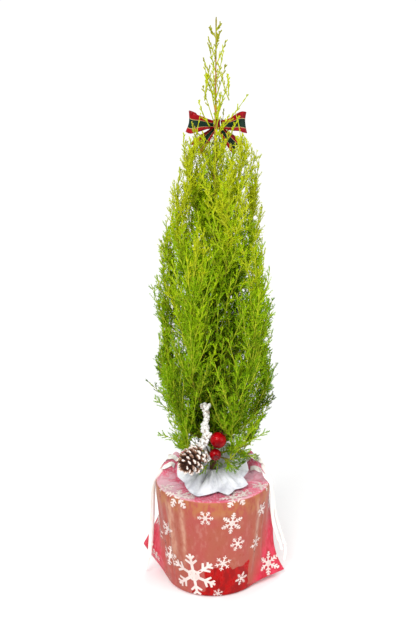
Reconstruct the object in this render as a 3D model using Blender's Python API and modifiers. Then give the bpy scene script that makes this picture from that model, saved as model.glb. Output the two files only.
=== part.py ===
"""A potted lemon cypress dressed as a Christmas gift: plant, pot, drawstring bag, liner, bow and pine cone pick.

Metres, +Z up. The origin is the middle of the bag's flat underside, and -Y is the side with the pine cone.
"""

import math
import random

import bmesh
import bpy
from mathutils import Matrix, Vector

# Clearance kept between two touching solids.
GAP = 0.0003

# The pot, its filling and the bag around it.
FILM = 0.0008
POT_HEIGHT = 0.136
POT_TOP_RADIUS = 0.0728
POT_FOOT_RADIUS = 0.0605
POT_LIP = 0.0017
POT_LIP_DEPTH = 0.020
POT_WALL = 0.0025
POT_BASE = FILM + GAP
SOIL_DEPTH_BELOW_LIP = 0.013
BAG_FOOT_RADIUS = 0.0635
BAG_RIM_RADIUS = 0.0768
BAG_RIM_HEIGHT = 0.1385
BAG_LAP_HEIGHT = BAG_RIM_HEIGHT + 0.0012
BAG_MOUTH_RISE = 0.020
BAG_HEM_RADIUS = 0.050
# The bag's two bottom corners: azimuth, reach and height of each tip. Both fins run out below EAR_ROOT.
EARS = ((-3.0, 0.1000, 0.008), (168.0, 0.0990, 0.034))
EAR_ROOT = 0.130
EAR_FOOT = 0.010

# The liner's ruff round the foot of the trunk.
RUFF_NECK_RADIUS = 0.0165
RUFF_NECK_HEIGHT = 0.159
RUFF_THICKNESS = 0.0007
RUFF_LAP_HEIGHT = BAG_LAP_HEIGHT + GAP + 0.5 * RUFF_THICKNESS + 0.0006

# The plant.
SOIL_TOP = POT_BASE + POT_HEIGHT - SOIL_DEPTH_BELOW_LIP
TRUNK_FOOT = SOIL_TOP + GAP
TRUNK_TIP = 0.690
PLANT_TOP = 0.736
TRUNK_FLARE_RADIUS = 0.0072
TRUNK_RADIUS = 0.0044
TRUNK_TIP_RADIUS = 0.0007
TRUNK_LEAN = Vector((0.0035, 0.0))
BOUGH_RADII = (0.0022, 0.0021, 0.0019, 0.0016)
STEM_RADIUS = 0.0015
TWIG_RADIUS = 0.0011
BLADE_THICKNESS = 0.0012
MASS_CLEARANCE = 0.0007
# Share of the height between two tiers' stems, at any radius, that belongs to the lower tier.
TIER_SHARE = 0.62

# Each tier of foliage: name, masses, first azimuth, height at the trunk, height at its tips, reach, how late its
# stems turn up, length of the boughs that carry it, and how many twigs and stem sprays each mass may have.
TIERS = (
    ("skirt", 5, 10.0, 0.176, 0.196, 0.061, 1.3, 0.0, 4, 3),
    ("lower", 5, 6.0, 0.200, 0.272, 0.068, 1.5, 0.016, 4, 4),
    ("broad", 5, 28.0, 0.240, 0.350, 0.071, 1.5, 0.014, 4, 4),
    ("middle", 4, 65.0, 0.300, 0.432, 0.064, 1.5, 0.0, 4, 5),
    ("upper", 4, 20.0, 0.380, 0.512, 0.052, 1.5, 0.0, 4, 5),
    ("shoulder", 3, 90.0, 0.462, 0.585, 0.037, 1.4, 0.0, 4, 4),
    ("crest", 3, 90.0, 0.545, 0.654, 0.0195, 1.2, 0.0, 3, 4),
)
CROWN_RADIUS = 0.088
CROWN_SHOULDER = 0.200
CROWN_POINT = 0.745
LEADER_FLOOR = 0.684
LEADER_REACH = 0.014

# The decorations.
CONE_CENTRE = Vector((-0.0262, -0.0610, 0.1880))
CONE_AXIS = Vector((-0.50, -0.82, -0.10)).normalized()
CONE_RADIUS = 0.0190
CONE_SCALES = 30
SPIKE_FOOT = Vector((-0.0108, -0.0495, 0.2095))
SPIKE_TIP = Vector((-0.0095, -0.0490, 0.2585))
SPIKE_RADIUS = 0.0058
BERRIES = (
    ("berry_upper", Vector((0.0066, -0.0500, 0.2135)), 0.0105, Vector((0.6, 0.2, 0.8))),
    ("berry_lower", Vector((0.0030, -0.0520, 0.1945)), 0.0076, Vector((0.1, -1.0, -0.1))),
)
BOW_CENTRE = Vector((0.0050, 0.0064, 0.6080))
BOW_HALF_SPAN = 0.0355
BOW_DEPTH = 0.0085
RIBBON_WIDTH = 0.025
RIBBON_THICKNESS = 0.0008
DRAWSTRING_WIDTH = 0.0030
DRAWSTRING_THICKNESS = 0.0009


def polar(radius, azimuth, height):
    """A point from its distance to the upright axis, its azimuth in degrees and its height."""
    turn = math.radians(azimuth)
    return Vector((radius * math.cos(turn), radius * math.sin(turn), height))


def finish(name, colour, roughness, metallic=0.0):
    """A plain Principled material."""
    material = bpy.data.materials.new(name)
    material.use_nodes = True
    shader = material.node_tree.nodes["Principled BSDF"]
    shader.inputs["Base Color"].default_value = (*colour, 1.0)
    shader.inputs["Roughness"].default_value = roughness
    shader.inputs["Metallic"].default_value = metallic
    material.diffuse_color = (*colour, 1.0)
    return material


def add_mesh(name, points, faces, material, collection):
    """One mesh object, with its faces turned outwards."""
    mesh = bpy.data.meshes.new(name)
    mesh.from_pydata([tuple(point) for point in points], [], faces)
    shape = bmesh.new()
    shape.from_mesh(mesh)
    bmesh.ops.recalc_face_normals(shape, faces=shape.faces)
    shape.to_mesh(mesh)
    shape.free()
    mesh.materials.append(material)
    thing = bpy.data.objects.new(name, mesh)
    collection.objects.link(thing)
    return thing


def loft(rings, closed_ends=True):
    """Points and faces of a skin through rings of equal length, with a face over each end."""
    count = len(rings[0])
    points = [point for ring in rings for point in ring]
    faces = []
    for row in range(len(rings) - 1):
        for i in range(count):
            j = (i + 1) % count
            faces.append((row * count + i, row * count + j, (row + 1) * count + j, (row + 1) * count + i))
    if closed_ends:
        faces.append(tuple(range(count))[::-1])
        faces.append(tuple(range(len(points) - count, len(points))))
    return points, faces


def limb(path, radii, sides, foot_faces=None):
    """Points and faces of a tapering limb: a regular section carried along a path, with flat ends."""
    rings = []
    side = Vector((0.0, 1.0, 0.0)) if abs((path[1] - path[0]).normalized().y) < 0.9 else Vector((1.0, 0.0, 0.0))
    for i, (centre, radius) in enumerate(zip(path, radii)):
        along = (path[min(i + 1, len(path) - 1)] - path[max(i - 1, 0)]).normalized()
        if foot_faces and i == 0:
            along = foot_faces
        side = (side - along * side.dot(along)).normalized()
        other = along.cross(side)
        turns = (2 * math.pi * k / sides for k in range(sides))
        rings.append([centre + radius * (math.cos(a) * side + math.sin(a) * other) for a in turns])
    return loft(rings)


def turned(name, profile, steps, material, collection):
    """A turned solid: the profile, which runs down its outer side, with a Screw modifier about Z."""
    mesh = bpy.data.meshes.new(name)
    mesh.from_pydata([(r, 0.0, z) for r, z in profile], [(i, i + 1) for i in range(len(profile) - 1)], [])
    mesh.materials.append(material)
    thing = bpy.data.objects.new(name, mesh)
    screw = thing.modifiers.new("Turn", "SCREW")
    screw.steps = steps
    screw.render_steps = steps
    screw.use_merge_vertices = True
    screw.merge_threshold = 0.0001
    screw.use_smooth_shade = True
    collection.objects.link(thing)
    return thing


def join_solids(name, shapes, material, collection):
    """One solid from overlapping closed shapes, each given as points and faces: a Boolean union on a collection."""
    loose = bpy.data.collections.new(name + "_shapes")
    bpy.context.scene.collection.children.link(loose)
    first = add_mesh(name, *shapes[0], material, collection)
    for index, (points, faces) in enumerate(shapes[1:]):
        add_mesh(f"{name}_shape_{index}", points, faces, material, loose)
    union = first.modifiers.new("Join", "BOOLEAN")
    union.operation = "UNION"
    union.operand_type = "COLLECTION"
    union.collection = loose
    union.solver = "MANIFOLD"
    bpy.context.view_layer.update()
    graph = bpy.context.evaluated_depsgraph_get()
    joined = bpy.data.meshes.new_from_object(first.evaluated_get(graph))
    first.modifiers.clear()
    first.data = joined
    for thing in list(loose.objects):
        bpy.data.objects.remove(thing)
    bpy.data.collections.remove(loose)
    return first


# The trunk and the space of each mass of foliage.


def trunk_point(height):
    """The trunk's middle line: nearly upright, with a slight lean."""
    share = (height - TRUNK_FOOT) / (PLANT_TOP - TRUNK_FOOT)
    return Vector((TRUNK_LEAN.x * share, TRUNK_LEAN.y * share, height))


def trunk_radius(height):
    """Root flare at the soil, then an even taper to the tip."""
    share = min(1.0, (height - TRUNK_FOOT) / (TRUNK_TIP - TRUNK_FOOT))
    flare = (TRUNK_FLARE_RADIUS - TRUNK_RADIUS) * math.exp(-(height - TRUNK_FOOT) / 0.008)
    return TRUNK_RADIUS + (TRUNK_TIP_RADIUS - TRUNK_RADIUS) * share + flare


def stem_point(tier, azimuth, share):
    """A stem's middle line: it runs out from the trunk, then sweeps up to its tip."""
    _, _, _, low, high, reach, sweep, *_ = TIERS[tier]
    start = trunk_radius(low) + 2 * GAP
    radius = start + (reach - start) * math.sin(share * math.pi / 2) ** 0.9
    height = low + (high - low) * share**sweep
    return trunk_point(height) + polar(radius, azimuth, 0.0)


def share_at_length(tier, azimuth, length):
    """The share of a stem's middle line that lies within a given length from the trunk."""
    steps = 400
    run, last = 0.0, stem_point(tier, azimuth, 0.0)
    for k in range(1, steps + 1):
        point = stem_point(tier, azimuth, k / steps)
        step = (point - last).length
        if run + step >= length:
            return (k - 1 + (length - run) / step) / steps
        run, last = run + step, point
    return 1.0


def stem_height(tier, radius):
    """The height of a tier's stems at a given distance from the trunk's middle line."""
    _, _, _, low, high, reach, sweep, *_ = TIERS[tier]
    start = trunk_radius(low) + 2 * GAP
    out = max(0.0, min(1.0, (radius - start) / (reach - start)))
    share = math.asin(out ** (1 / 0.9)) * 2 / math.pi
    return low + (high - low) * share**sweep + 1.2 * max(0.0, radius - reach)


def crown_radius(height):
    """The crown's outline: an even column that closes in more and more quickly towards its point."""
    share = max(0.0, (height - CROWN_SHOULDER) / (CROWN_POINT - CROWN_SHOULDER))
    return CROWN_RADIUS * max(0.0, 1.0 - share**2.3)


def ruff_top(azimuth, radius):
    """The height under which the ruff and the bag's mouth lie."""
    back = max(0.0, math.cos(math.radians(azimuth - 35.0)))
    slope = max(0.0, min(1.0, (radius - RUFF_NECK_RADIUS) / 0.030))
    return 0.164 - 0.012 * slope + 0.016 * back * slope


def in_decoration(point):
    """Whether a point lies in the room of the bow or of the pine cone pick."""
    bow = point - BOW_CENTRE
    if abs(bow.x) < BOW_HALF_SPAN + 0.002 and abs(bow.y) < BOW_DEPTH and -0.0145 < bow.z < 0.017:
        return True
    if abs(bow.x) < 0.038 and 0.002 < bow.y < 0.0075 and -0.045 < bow.z < 0.0:
        return True
    if (point - CONE_CENTRE).length < CONE_RADIUS + 0.010:
        return True
    along = (SPIKE_TIP - SPIKE_FOOT).normalized()
    reach = (point - SPIKE_FOOT).dot(along)
    if -0.008 < reach < 0.062 and (point - SPIKE_FOOT - along * reach).length < 0.0098:
        return True
    if any((point - centre).length < radius + 0.005 for _, centre, radius, _ in BERRIES):
        return True
    return point.z < 0.222 and -0.058 < point.y < -0.008 and -0.022 < point.x < 0.014


def in_space(tier, azimuth, point):
    """Whether a point lies in the space of one mass: its sector, between the stems of the tiers around it."""
    centre = trunk_point(point.z)
    offset = point - centre
    radius = offset.xy.length
    if not trunk_radius(point.z) + 0.0012 < radius < crown_radius(point.z) or in_decoration(point):
        return False
    bearing = math.degrees(math.atan2(offset.y, offset.x))
    if point.z < ruff_top(bearing, radius) or (point.z > LEADER_FLOOR - 0.001 and radius < LEADER_REACH + 0.001):
        return False
    half = 180.0 / TIERS[tier][1]
    swing = abs((bearing - azimuth + 180.0) % 360.0 - 180.0)
    if swing > half or radius * math.sin(math.radians(min(90.0, half - swing))) < MASS_CLEARANCE:
        return False
    own = stem_height(tier, radius)
    if tier + 1 < len(TIERS):
        ceiling = own + TIER_SHARE * (stem_height(tier + 1, radius) - own)
        if point.z > ceiling - MASS_CLEARANCE:
            return False
    if tier > 0:
        below = stem_height(tier - 1, radius)
        if point.z < below + TIER_SHARE * (own - below) + MASS_CLEARANCE:
            return False
    return True


def in_leader_space(point):
    """Whether a point lies in the space of the leader's tip."""
    return point.z > LEADER_FLOOR and (point - trunk_point(point.z)).xy.length < LEADER_REACH


# How foliage grows: a stem bears twigs by the golden angle, and sprays stand out of both.

GOLDEN_ANGLE = math.radians(137.508)
# A spray's toothed edges, from root to tip, in shares of its length: along and away from its spine.
EDGE = ((0.46, 0.20), (0.37, 0.075), (0.80, 0.14), (0.70, 0.045))
OTHER_EDGE = ((0.64, 0.19), (0.54, 0.060))


def spray(root, direction, flat_normal, length):
    """Points and faces of one spray: its toothed outline at the blade's thickness, seen flat from flat_normal."""
    along = direction.normalized()
    normal = (flat_normal - along * flat_normal.dot(along)).normalized()
    across = normal.cross(along)
    foot = 0.026
    outline = [(0.0, -foot), *((s, -t) for s, t in EDGE), (1.0, 0.0), *reversed(OTHER_EDGE), (0.0, foot)]
    half = normal * BLADE_THICKNESS / 2
    flat = [root + (along * s + across * t) * length for s, t in outline]
    return loft([[point - half for point in flat], [point + half for point in flat]])


def bend_up(direction, amount):
    return (direction + Vector((0.0, 0.0, amount))).normalized()


def whole_inside(points, inside):
    """Whether all the points, and the middles between neighbours, are inside."""
    middles = [(one + other) / 2 for one, other in zip(points, points[1:])]
    return all(inside(point) for point in [*points, *middles])


def grow_spray(shapes, root, direction, normal, length, inside):
    """Adds one spray if it stays inside its space, shorter where the full length wouldn't."""
    for share in (1.0, 0.8, 0.62):
        blade = spray(root, direction, normal, length * share)
        edge = blade[0]
        spine = [root + direction * length * share * k / 10 for k in range(1, 11)]
        webs = [edge[i].lerp(spine[4], part) for i in range(len(edge)) for part in (0.3, 0.6)]
        if whole_inside(edge[1:-1], inside) and all(inside(point) for point in spine + webs):
            shapes.append(blade)
            return True
    return False


def grow_mass(seed, path_at, foot_faces, inside, twigs, stem_sprays, twig_length, spray_length):
    """The shapes of one mass: its stem, the twigs that fit its space, and sprays on both."""
    rng = random.Random(seed)
    stem = [path_at(share) for share in (0.0, 0.22, 0.48, 0.74, 1.0)]
    shapes = [limb(stem, [STEM_RADIUS * taper for taper in (1.0, 0.95, 0.85, 0.7, 0.5)], 3, foot_faces)]
    turn = rng.uniform(0.0, 2 * math.pi)
    count = twigs + stem_sprays
    for k in range(count):
        share = 0.08 + 0.84 * (k + 0.5) / count
        root = path_at(share)
        tangent = (path_at(min(1.0, share + 0.05)) - path_at(share)).normalized()
        side = tangent.cross(Vector((0.0, 0.0, 1.0))).normalized()
        other = side.cross(tangent)
        facing = rng.uniform(-65.0, 65.0)
        lean = rng.uniform(-1.0, 1.0)
        reach = twig_length * (1.0 - 0.35 * share) * rng.uniform(0.85, 1.1)
        on_stem = k * stem_sprays % count < stem_sprays
        for _ in range(3):
            turn += GOLDEN_ANGLE
            out = math.cos(turn) * side + math.sin(turn) * other
            flat = polar(1.0, math.degrees(math.atan2(root.y, root.x)) + facing, 0.0)
            if on_stem:
                angle = math.radians(29.0 + 5.0 * lean)
                direction = bend_up(math.cos(angle) * tangent + math.sin(angle) * out, 0.35)
                if grow_spray(shapes, root, direction, flat, spray_length, inside):
                    break
                continue
            angle = math.radians(44.0 + 6.0 * lean)
            direction = bend_up(math.cos(angle) * tangent + math.sin(angle) * out, 0.30)
            tip = root + direction * reach
            upward = bend_up(direction, 0.55)
            if not whole_inside([root.lerp(tip, 0.15), root.lerp(tip, 0.5), tip], inside):
                continue
            if grow_spray(shapes, tip - upward * 0.003, upward, flat, spray_length, inside):
                shapes.append(limb([root, tip], [TWIG_RADIUS, 0.55 * TWIG_RADIUS], 3))
                break
    tip = path_at(1.0)
    ending = bend_up(tip - path_at(0.9), 0.6)
    grow_spray(shapes, tip - ending * 0.004, ending, Vector((tip.x, tip.y, 0.0)), spray_length, inside)
    return shapes


def build_trunk(bark, collection):
    heights = [TRUNK_FOOT + h for h in (0.0, 0.004, 0.010, 0.022, 0.060)]
    heights += [0.24, 0.32, 0.40, 0.48, 0.56, 0.63, TRUNK_TIP]
    path = [trunk_point(h) for h in heights]
    add_mesh("trunk", *limb(path, [trunk_radius(h) for h in heights], 8, Vector((0.0, 0.0, 1.0))), bark, collection)


def build_crown(bark, leaf, collection):
    """Boughs where a tier has them, and every mass of foliage."""
    for tier, (name, count, first, _, _, reach, _, bough, twigs, stem_sprays) in enumerate(TIERS):
        for k in range(count):
            azimuth = first + 360.0 * k / count

            def inside(point, tier=tier, azimuth=azimuth):
                return in_space(tier, azimuth, point)

            foot_faces = polar(1.0, azimuth, 0.0)
            start = 0.0
            if bough:
                end = share_at_length(tier, azimuth, bough)
                start = share_at_length(tier, azimuth, bough + 2 * GAP)
                path = [stem_point(tier, azimuth, end * s / 3) for s in range(4)]
                add_mesh(f"bough_{name}_{k + 1}", *limb(path, BOUGH_RADII, 6, foot_faces), bark, collection)
                foot_faces = (stem_point(tier, azimuth, start) - stem_point(tier, azimuth, end)).normalized()

            def path_at(share, start=start, tier=tier, azimuth=azimuth):
                return stem_point(tier, azimuth, start + (1.0 - start) * max(0.0, share))

            shapes = grow_mass(
                seed=100 * tier + k,
                path_at=path_at,
                foot_faces=foot_faces,
                inside=inside,
                twigs=twigs,
                stem_sprays=stem_sprays,
                twig_length=0.024 + 0.25 * reach,
                spray_length=0.028 + 0.30 * reach,
            )
            join_solids(f"foliage_{name}_{k + 1}", shapes, leaf, collection)
    build_leader_tip(leaf, collection)


def build_leader_tip(leaf, collection):
    """The growing tip above the trunk: a thin shoot with short side shoots."""
    foot = trunk_point(TRUNK_TIP + GAP)
    tip = trunk_point(PLANT_TOP)

    def path_at(share):
        return foot.lerp(tip, max(0.0, share))

    shapes = [limb([path_at(s / 3) for s in range(4)], [0.0009, 0.0009, 0.0008, 0.0003], 4)]
    for share, azimuth in ((0.12, 200.0), (0.24, 20.0), (0.40, 150.0), (0.52, 330.0), (0.66, 240.0)):
        out = polar(0.55, azimuth, 1.0).normalized()
        root = path_at(share)
        path = [root, root + out * 0.006, root + out * 0.006 + bend_up(out, 0.7) * 0.006]
        if whole_inside(path, in_leader_space):
            shapes.append(limb(path, [0.0008, 0.0009, 0.0004], 3))
    join_solids("foliage_leader_tip", shapes, leaf, collection)


# Pot, soil and bag.


def build_pot(clay, earth, collection):
    lip = POT_TOP_RADIUS + POT_LIP
    top = POT_BASE + POT_HEIGHT
    foot = POT_BASE
    profile = (
        (0.0, foot + POT_WALL),
        (POT_FOOT_RADIUS - POT_WALL, foot + POT_WALL),
        (POT_TOP_RADIUS - POT_WALL, top),
        (lip - 0.0008, top),
        (lip, top - 0.0012),
        (lip, top - POT_LIP_DEPTH),
        (POT_TOP_RADIUS - 0.0012, top - POT_LIP_DEPTH - 0.0008),
        (POT_FOOT_RADIUS, foot + 0.002),
        (POT_FOOT_RADIUS - 0.002, foot),
        (0.0, foot),
    )
    turned("pot", profile, 32, clay, collection)
    floor = foot + POT_WALL + GAP
    slope = (POT_TOP_RADIUS - POT_FOOT_RADIUS) / (POT_HEIGHT - POT_WALL)
    inner = POT_FOOT_RADIUS - POT_WALL - 2 * GAP
    rim = inner + slope * (SOIL_TOP - floor)
    profile = ((0.0, SOIL_TOP), (rim - 0.012, SOIL_TOP), (rim, SOIL_TOP - 0.002), (inner, floor), (0.0, floor))
    turned("soil", profile, 32, earth, collection)


def wall_radius(height):
    """The film's radius round the pot, away from the corners."""
    return BAG_FOOT_RADIUS + (BAG_RIM_RADIUS - BAG_FOOT_RADIUS) * min(1.0, height / 0.120)


def ear_reach(ear, height):
    """How far one corner of the bag reaches at a height: furthest at its tip, and fading up the side seam."""
    _, reach, tip = ear
    if height < tip:
        foot = wall_radius(height) + EAR_FOOT
        return foot + (reach - foot) * height / tip
    rise = max(0.0, 1.0 - (height - tip) / (EAR_ROOT - tip))
    return wall_radius(height) + (reach - wall_radius(tip)) * rise**1.6


def bag_radius(azimuth, height):
    """The flat bag drawn round the pot: a circle, and straight from it to each corner."""
    wall = wall_radius(height)
    for ear in EARS:
        swing = abs((azimuth - ear[0] + 180.0) % 360.0 - 180.0)
        touch = math.degrees(math.acos(wall / ear_reach(ear, height)))
        if swing < touch:
            return wall / math.cos(math.radians(touch - swing))
    return wall


def bag_azimuths():
    """The bag's section: even round the pot, with a point on each corner."""
    first, second = EARS[0][0], EARS[1][0]
    between = 17
    turns = []
    for ear, following in ((first, second), (second, first + 360.0)):
        turns += [ear + (following - ear) * k / (between + 1) for k in range(between + 1)]
    return turns


def bag_wave(azimuth):
    """The film's loose pleats round the mouth."""
    turn = math.radians(azimuth)
    return 0.5 * math.sin(5 * turn + 0.7) + 0.3 * math.sin(9 * turn + 2.0)


def mouth_point(azimuth, share):
    """The bag's mouth: flat from the rim in to a wavy hem at the front, and standing up behind the plant."""
    behind = max(0.0, math.sin(math.radians(azimuth))) ** 0.8
    hem = BAG_HEM_RADIUS + 0.006 * behind + 0.004 * bag_wave(azimuth)
    radius = BAG_RIM_RADIUS - 0.004
    return polar(radius + (hem - radius) * share, azimuth, BAG_LAP_HEIGHT + BAG_MOUTH_RISE * behind * share)


def build_bag(film, collection):
    """The drawstring bag: film up the pot's side, over the lip and in to its hem, with a flat fin at each corner."""
    turns = bag_azimuths()
    outer = [[polar(BAG_FOOT_RADIUS - 0.003, a, 0.0) for a in turns]]
    for height in (0.003, 0.012, 0.034, 0.065, 0.100, 0.124):
        outer.append([polar(bag_radius(a, height), a, height) for a in turns])
    outer.append([polar(BAG_RIM_RADIUS - 0.0004, a, BAG_RIM_HEIGHT - 0.001) for a in turns])
    outer.append([mouth_point(a, 0.0) for a in turns])
    outer.append([mouth_point(a, 1.0) for a in turns])
    under = Vector((0.0, 0.0, FILM))
    inner = [[point - under for point in ring] for ring in reversed(outer[-2:])]
    inner.append([polar(BAG_RIM_RADIUS - 0.0004 - FILM, a, BAG_RIM_HEIGHT - FILM - 0.0005) for a in turns])
    inner.append([polar(BAG_RIM_RADIUS - FILM, a, 0.124) for a in turns])
    inner.append([polar(BAG_FOOT_RADIUS - FILM, a, FILM) for a in turns])
    points, faces = loft(outer + inner)
    add_mesh("bag", points, faces, film, collection)


def ruff_point(azimuth, share):
    """The ruff's surface: a pleated collar from its neck to a hem of pointed corners, which stands up at the back."""
    turn = math.radians(azimuth)
    corner = 0.5 * (1.0 + math.cos(7 * turn + 0.9))
    hem = 0.046 + 0.016 * corner**1.6
    back = max(0.0, math.cos(turn - math.radians(35.0)))
    standing = 0.016 * back
    radius = RUFF_NECK_RADIUS + (hem - 0.010 * back - RUFF_NECK_RADIUS) * share
    pleat = 0.0022 * math.sin(14 * turn + 1.8) * share * (1.2 - share)
    height = RUFF_NECK_HEIGHT + (RUFF_LAP_HEIGHT - RUFF_NECK_HEIGHT) * share**0.75
    return polar(radius, azimuth, height + pleat + standing * share + 0.003 * math.sin(math.pi * share))


def build_ruff(cloth, collection):
    """The liner's ruff: an open surface with Solidify."""
    count, rows = 36, 3
    rings = [[ruff_point(360.0 * i / count, row / rows) for i in range(count)] for row in range(rows + 1)]
    points, faces = loft(rings, closed_ends=False)
    thing = add_mesh("liner_ruff", points, faces, cloth, collection)
    wall = thing.modifiers.new("Cloth", "SOLIDIFY")
    wall.thickness = RUFF_THICKNESS
    wall.offset = 0.0


# Decorations.


def strip(path, widths, across, thickness):
    """A flat ribbon along a path: a thin four-cornered section, its width along across."""
    rings = []
    for i, (centre, width) in enumerate(zip(path, widths)):
        along = (path[min(i + 1, len(path) - 1)] - path[max(i - 1, 0)]).normalized()
        wide = (across - along * across.dot(along)).normalized() * width / 2
        thick = along.cross(wide).normalized() * thickness / 2
        rings.append([centre - wide - thick, centre + wide - thick, centre + wide + thick, centre - wide + thick])
    return loft(rings)


def build_bow(tartan, collection):
    """A flat bow of striped ribbon: two loops, two tails and the wrap between them."""
    up = Vector((0.0, 0.0, 1.0))
    for name, way in (("left", -1.0), ("right", 1.0)):
        path, widths = [], []
        for k in range(13):
            turn = math.pi * (0.07 + 1.86 * k / 12)
            out = 0.5 * (1.0 - math.cos(turn))
            depth = math.sin(turn) * BOW_DEPTH * out**0.5
            path.append(BOW_CENTRE + Vector((way * (0.0042 + (BOW_HALF_SPAN - 0.0042) * out), depth, 0.002 * out)))
            widths.append(RIBBON_WIDTH * (0.40 + 0.60 * min(1.0, out * 1.25)))
        add_mesh(f"bow_loop_{name}", *strip(path, widths, up, RIBBON_THICKNESS), tartan, collection)
        path = []
        for k in range(5):
            share = k / 4
            fall = Vector((way * (0.0036 + 0.0245 * share), 0.0050, -0.0050 - 0.0265 * share))
            path.append(BOW_CENTRE + fall)
        across = Vector((way, 0.0, 1.0)).normalized()
        widths = [0.0055, 0.0095, 0.0150, 0.0180, 0.0190]
        add_mesh(f"bow_tail_{name}", *strip(path, widths, across, RIBBON_THICKNESS), tartan, collection)
    bpy.ops.mesh.primitive_cube_add(size=1.0, location=BOW_CENTRE + Vector((0.0, -0.0005, 0.0)))
    wrap = bpy.context.object
    wrap.name = wrap.data.name = "bow_wrap"
    wrap.data.transform(Matrix.Diagonal((0.0070, 0.0085, 0.0125, 1.0)))
    rounding = wrap.modifiers.new("Soft edge", "BEVEL")
    rounding.width = 0.0014
    rounding.segments = 1
    wrap.data.materials.append(tartan)
    for owner in wrap.users_collection:
        owner.objects.unlink(wrap)
    collection.objects.link(wrap)


def ball(centre, radius, subdivisions=1):
    """Points and faces of a faceted ball."""
    shape = bmesh.new()
    bmesh.ops.create_icosphere(shape, subdivisions=subdivisions, radius=radius)
    points = [centre + vertex.co for vertex in shape.verts]
    faces = [tuple(vertex.index for vertex in face.verts) for face in shape.faces]
    shape.free()
    return points, faces


def sphere_way(index, count):
    """The index-th of count even directions over a sphere, by the golden angle."""
    height = 1.0 - 2.0 * (index + 0.5) / count
    ring = math.sqrt(1.0 - height * height)
    turn = index * GOLDEN_ANGLE
    return Vector((ring * math.cos(turn), ring * math.sin(turn), height))


def build_pine_cone(wood, collection):
    """An open pine cone: an egg-shaped core and thick scales in a spiral, tipped towards the front."""
    axis = CONE_AXIS
    side = axis.cross(Vector((0.0, 0.0, 1.0))).normalized()
    other = axis.cross(side)
    core_path = [CONE_CENTRE + axis * a for a in (-0.0160, -0.0070, 0.0050, 0.0150)]
    shapes = [limb(core_path, [0.0065, 0.0105, 0.0095, 0.0035], 8)]
    for index in range(CONE_SCALES):
        local = sphere_way(index + 0.7, CONE_SCALES + 2)
        height = -local.z
        out = (side * local.x + other * local.y + axis * (0.30 + 0.55 * height)).normalized()
        root = CONE_CENTRE + axis * (height * 0.0115) + out * 0.004
        wide = axis.cross(out).normalized()
        thick = out.cross(wide)
        reach = CONE_RADIUS - 0.0050 + 0.0022 * (1.0 - abs(height))
        rings = []
        for share, half, depth in ((0.0, 0.0020, 0.0012), (0.80, 0.0040, 0.0018), (1.0, 0.0022, 0.0010)):
            middle = root + out * reach * share
            corners = ((-1, -1), (1, -1), (1, 1), (-1, 1))
            rings.append([middle + wide * half * i + thick * depth * j for i, j in corners])
        shapes.append(loft(rings))
    join_solids("pine_cone", shapes, wood, collection)


def build_pick(snow, red, twig, collection):
    """The frosted spike, its bud, two lacquered berries and the brown stick that carries them."""
    rng = random.Random(7)
    shapes = []
    for k in range(9):
        share = k / 8
        jitter = Vector((rng.uniform(-1, 1), rng.uniform(-1, 1), 0.0)) * 0.0012
        shapes.append(ball(SPIKE_FOOT.lerp(SPIKE_TIP, share) + jitter, SPIKE_RADIUS - 0.0008 * share))
    join_solids("frosted_spike", shapes, snow, collection)
    for name, centre, radius, crown in BERRIES:
        crown = crown.normalized()
        shapes = [ball(centre, radius, 2)]
        side = crown.orthogonal().normalized()
        for k in range(5):
            lean = Matrix.Rotation(2 * math.pi * k / 5, 3, crown) @ side
            root = centre + crown * radius * 0.80 + lean * radius * 0.18
            tip = centre + crown * radius * 1.30 + lean * radius * 0.42
            shapes.append(limb([root, tip], [radius * 0.20, radius * 0.08], 3))
        join_solids(name, shapes, red, collection)
    build_stick(twig, collection)


def build_stick(twig, collection):
    """The stick stands on the soil beside the trunk and forks to the cone, the spike and each berry."""
    foot = Vector((0.0010, -0.0115, SOIL_TOP + GAP))
    fork = Vector((-0.0030, -0.0330, 0.1860))
    knee = Vector((0.0008, -0.0125, 0.1660))
    shapes = [limb([foot, knee, fork], [0.0012, 0.0012, 0.0011], 6, Vector((0.0, 0.0, 1.0)))]
    for name, centre, radius, _ in BERRIES:
        shapes.append(stalk(fork, centre, radius + 2 * GAP, 0.0008))
    shapes.append(stalk(fork, SPIKE_FOOT, SPIKE_RADIUS + 2 * GAP, 0.0008))
    shapes.append(stalk(fork, CONE_CENTRE - CONE_AXIS * 0.0160, 2 * GAP, 0.0009))
    join_solids("pick_stick", shapes, twig, collection)


def stalk(start, target, short, radius):
    """A straight stalk that stops short of its target."""
    way = (target - start).normalized()
    end = target - way * short
    return limb([start - way * 0.0010, end], [radius, radius * 0.8], 5)


# Each tape: the azimuth where it leaves its channel and the azimuth where it crosses the rim, then the points below.
DRAWSTRINGS = {
    "drawstring_right_outer": (
        (24.0, -1.0),
        ((0.0815, -0.0020, 0.1200), (0.0865, -0.0020, 0.0860), (0.0955, -0.0010, 0.0560), (0.1000, 0.0, 0.0360)),
        (0.0985, 0.0010, 0.0180),
    ),
    "drawstring_right_inner": (
        (14.0, -8.0),
        ((0.0795, -0.0115, 0.1200), (0.0815, -0.0115, 0.0860), (0.0880, -0.0095, 0.0600), (0.0920, -0.0075, 0.0480)),
        (0.0945, -0.0065, 0.0380),
    ),
    "drawstring_left_outer": (
        (152.0, 172.0),
        ((-0.0820, 0.0090, 0.1200), (-0.0845, 0.0070, 0.0820), (-0.0860, 0.0040, 0.0500), (-0.0885, 0.0000, 0.0240)),
        (-0.0925, -0.0010, 0.0060),
    ),
    "drawstring_left_inner": (
        (162.0, 179.0),
        ((-0.0800, 0.0005, 0.1200), (-0.0812, -0.0015, 0.0820), (-0.0828, -0.0040, 0.0560), (-0.0845, -0.0060, 0.0400)),
        (-0.0862, -0.0070, 0.0270),
    ),
}


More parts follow.
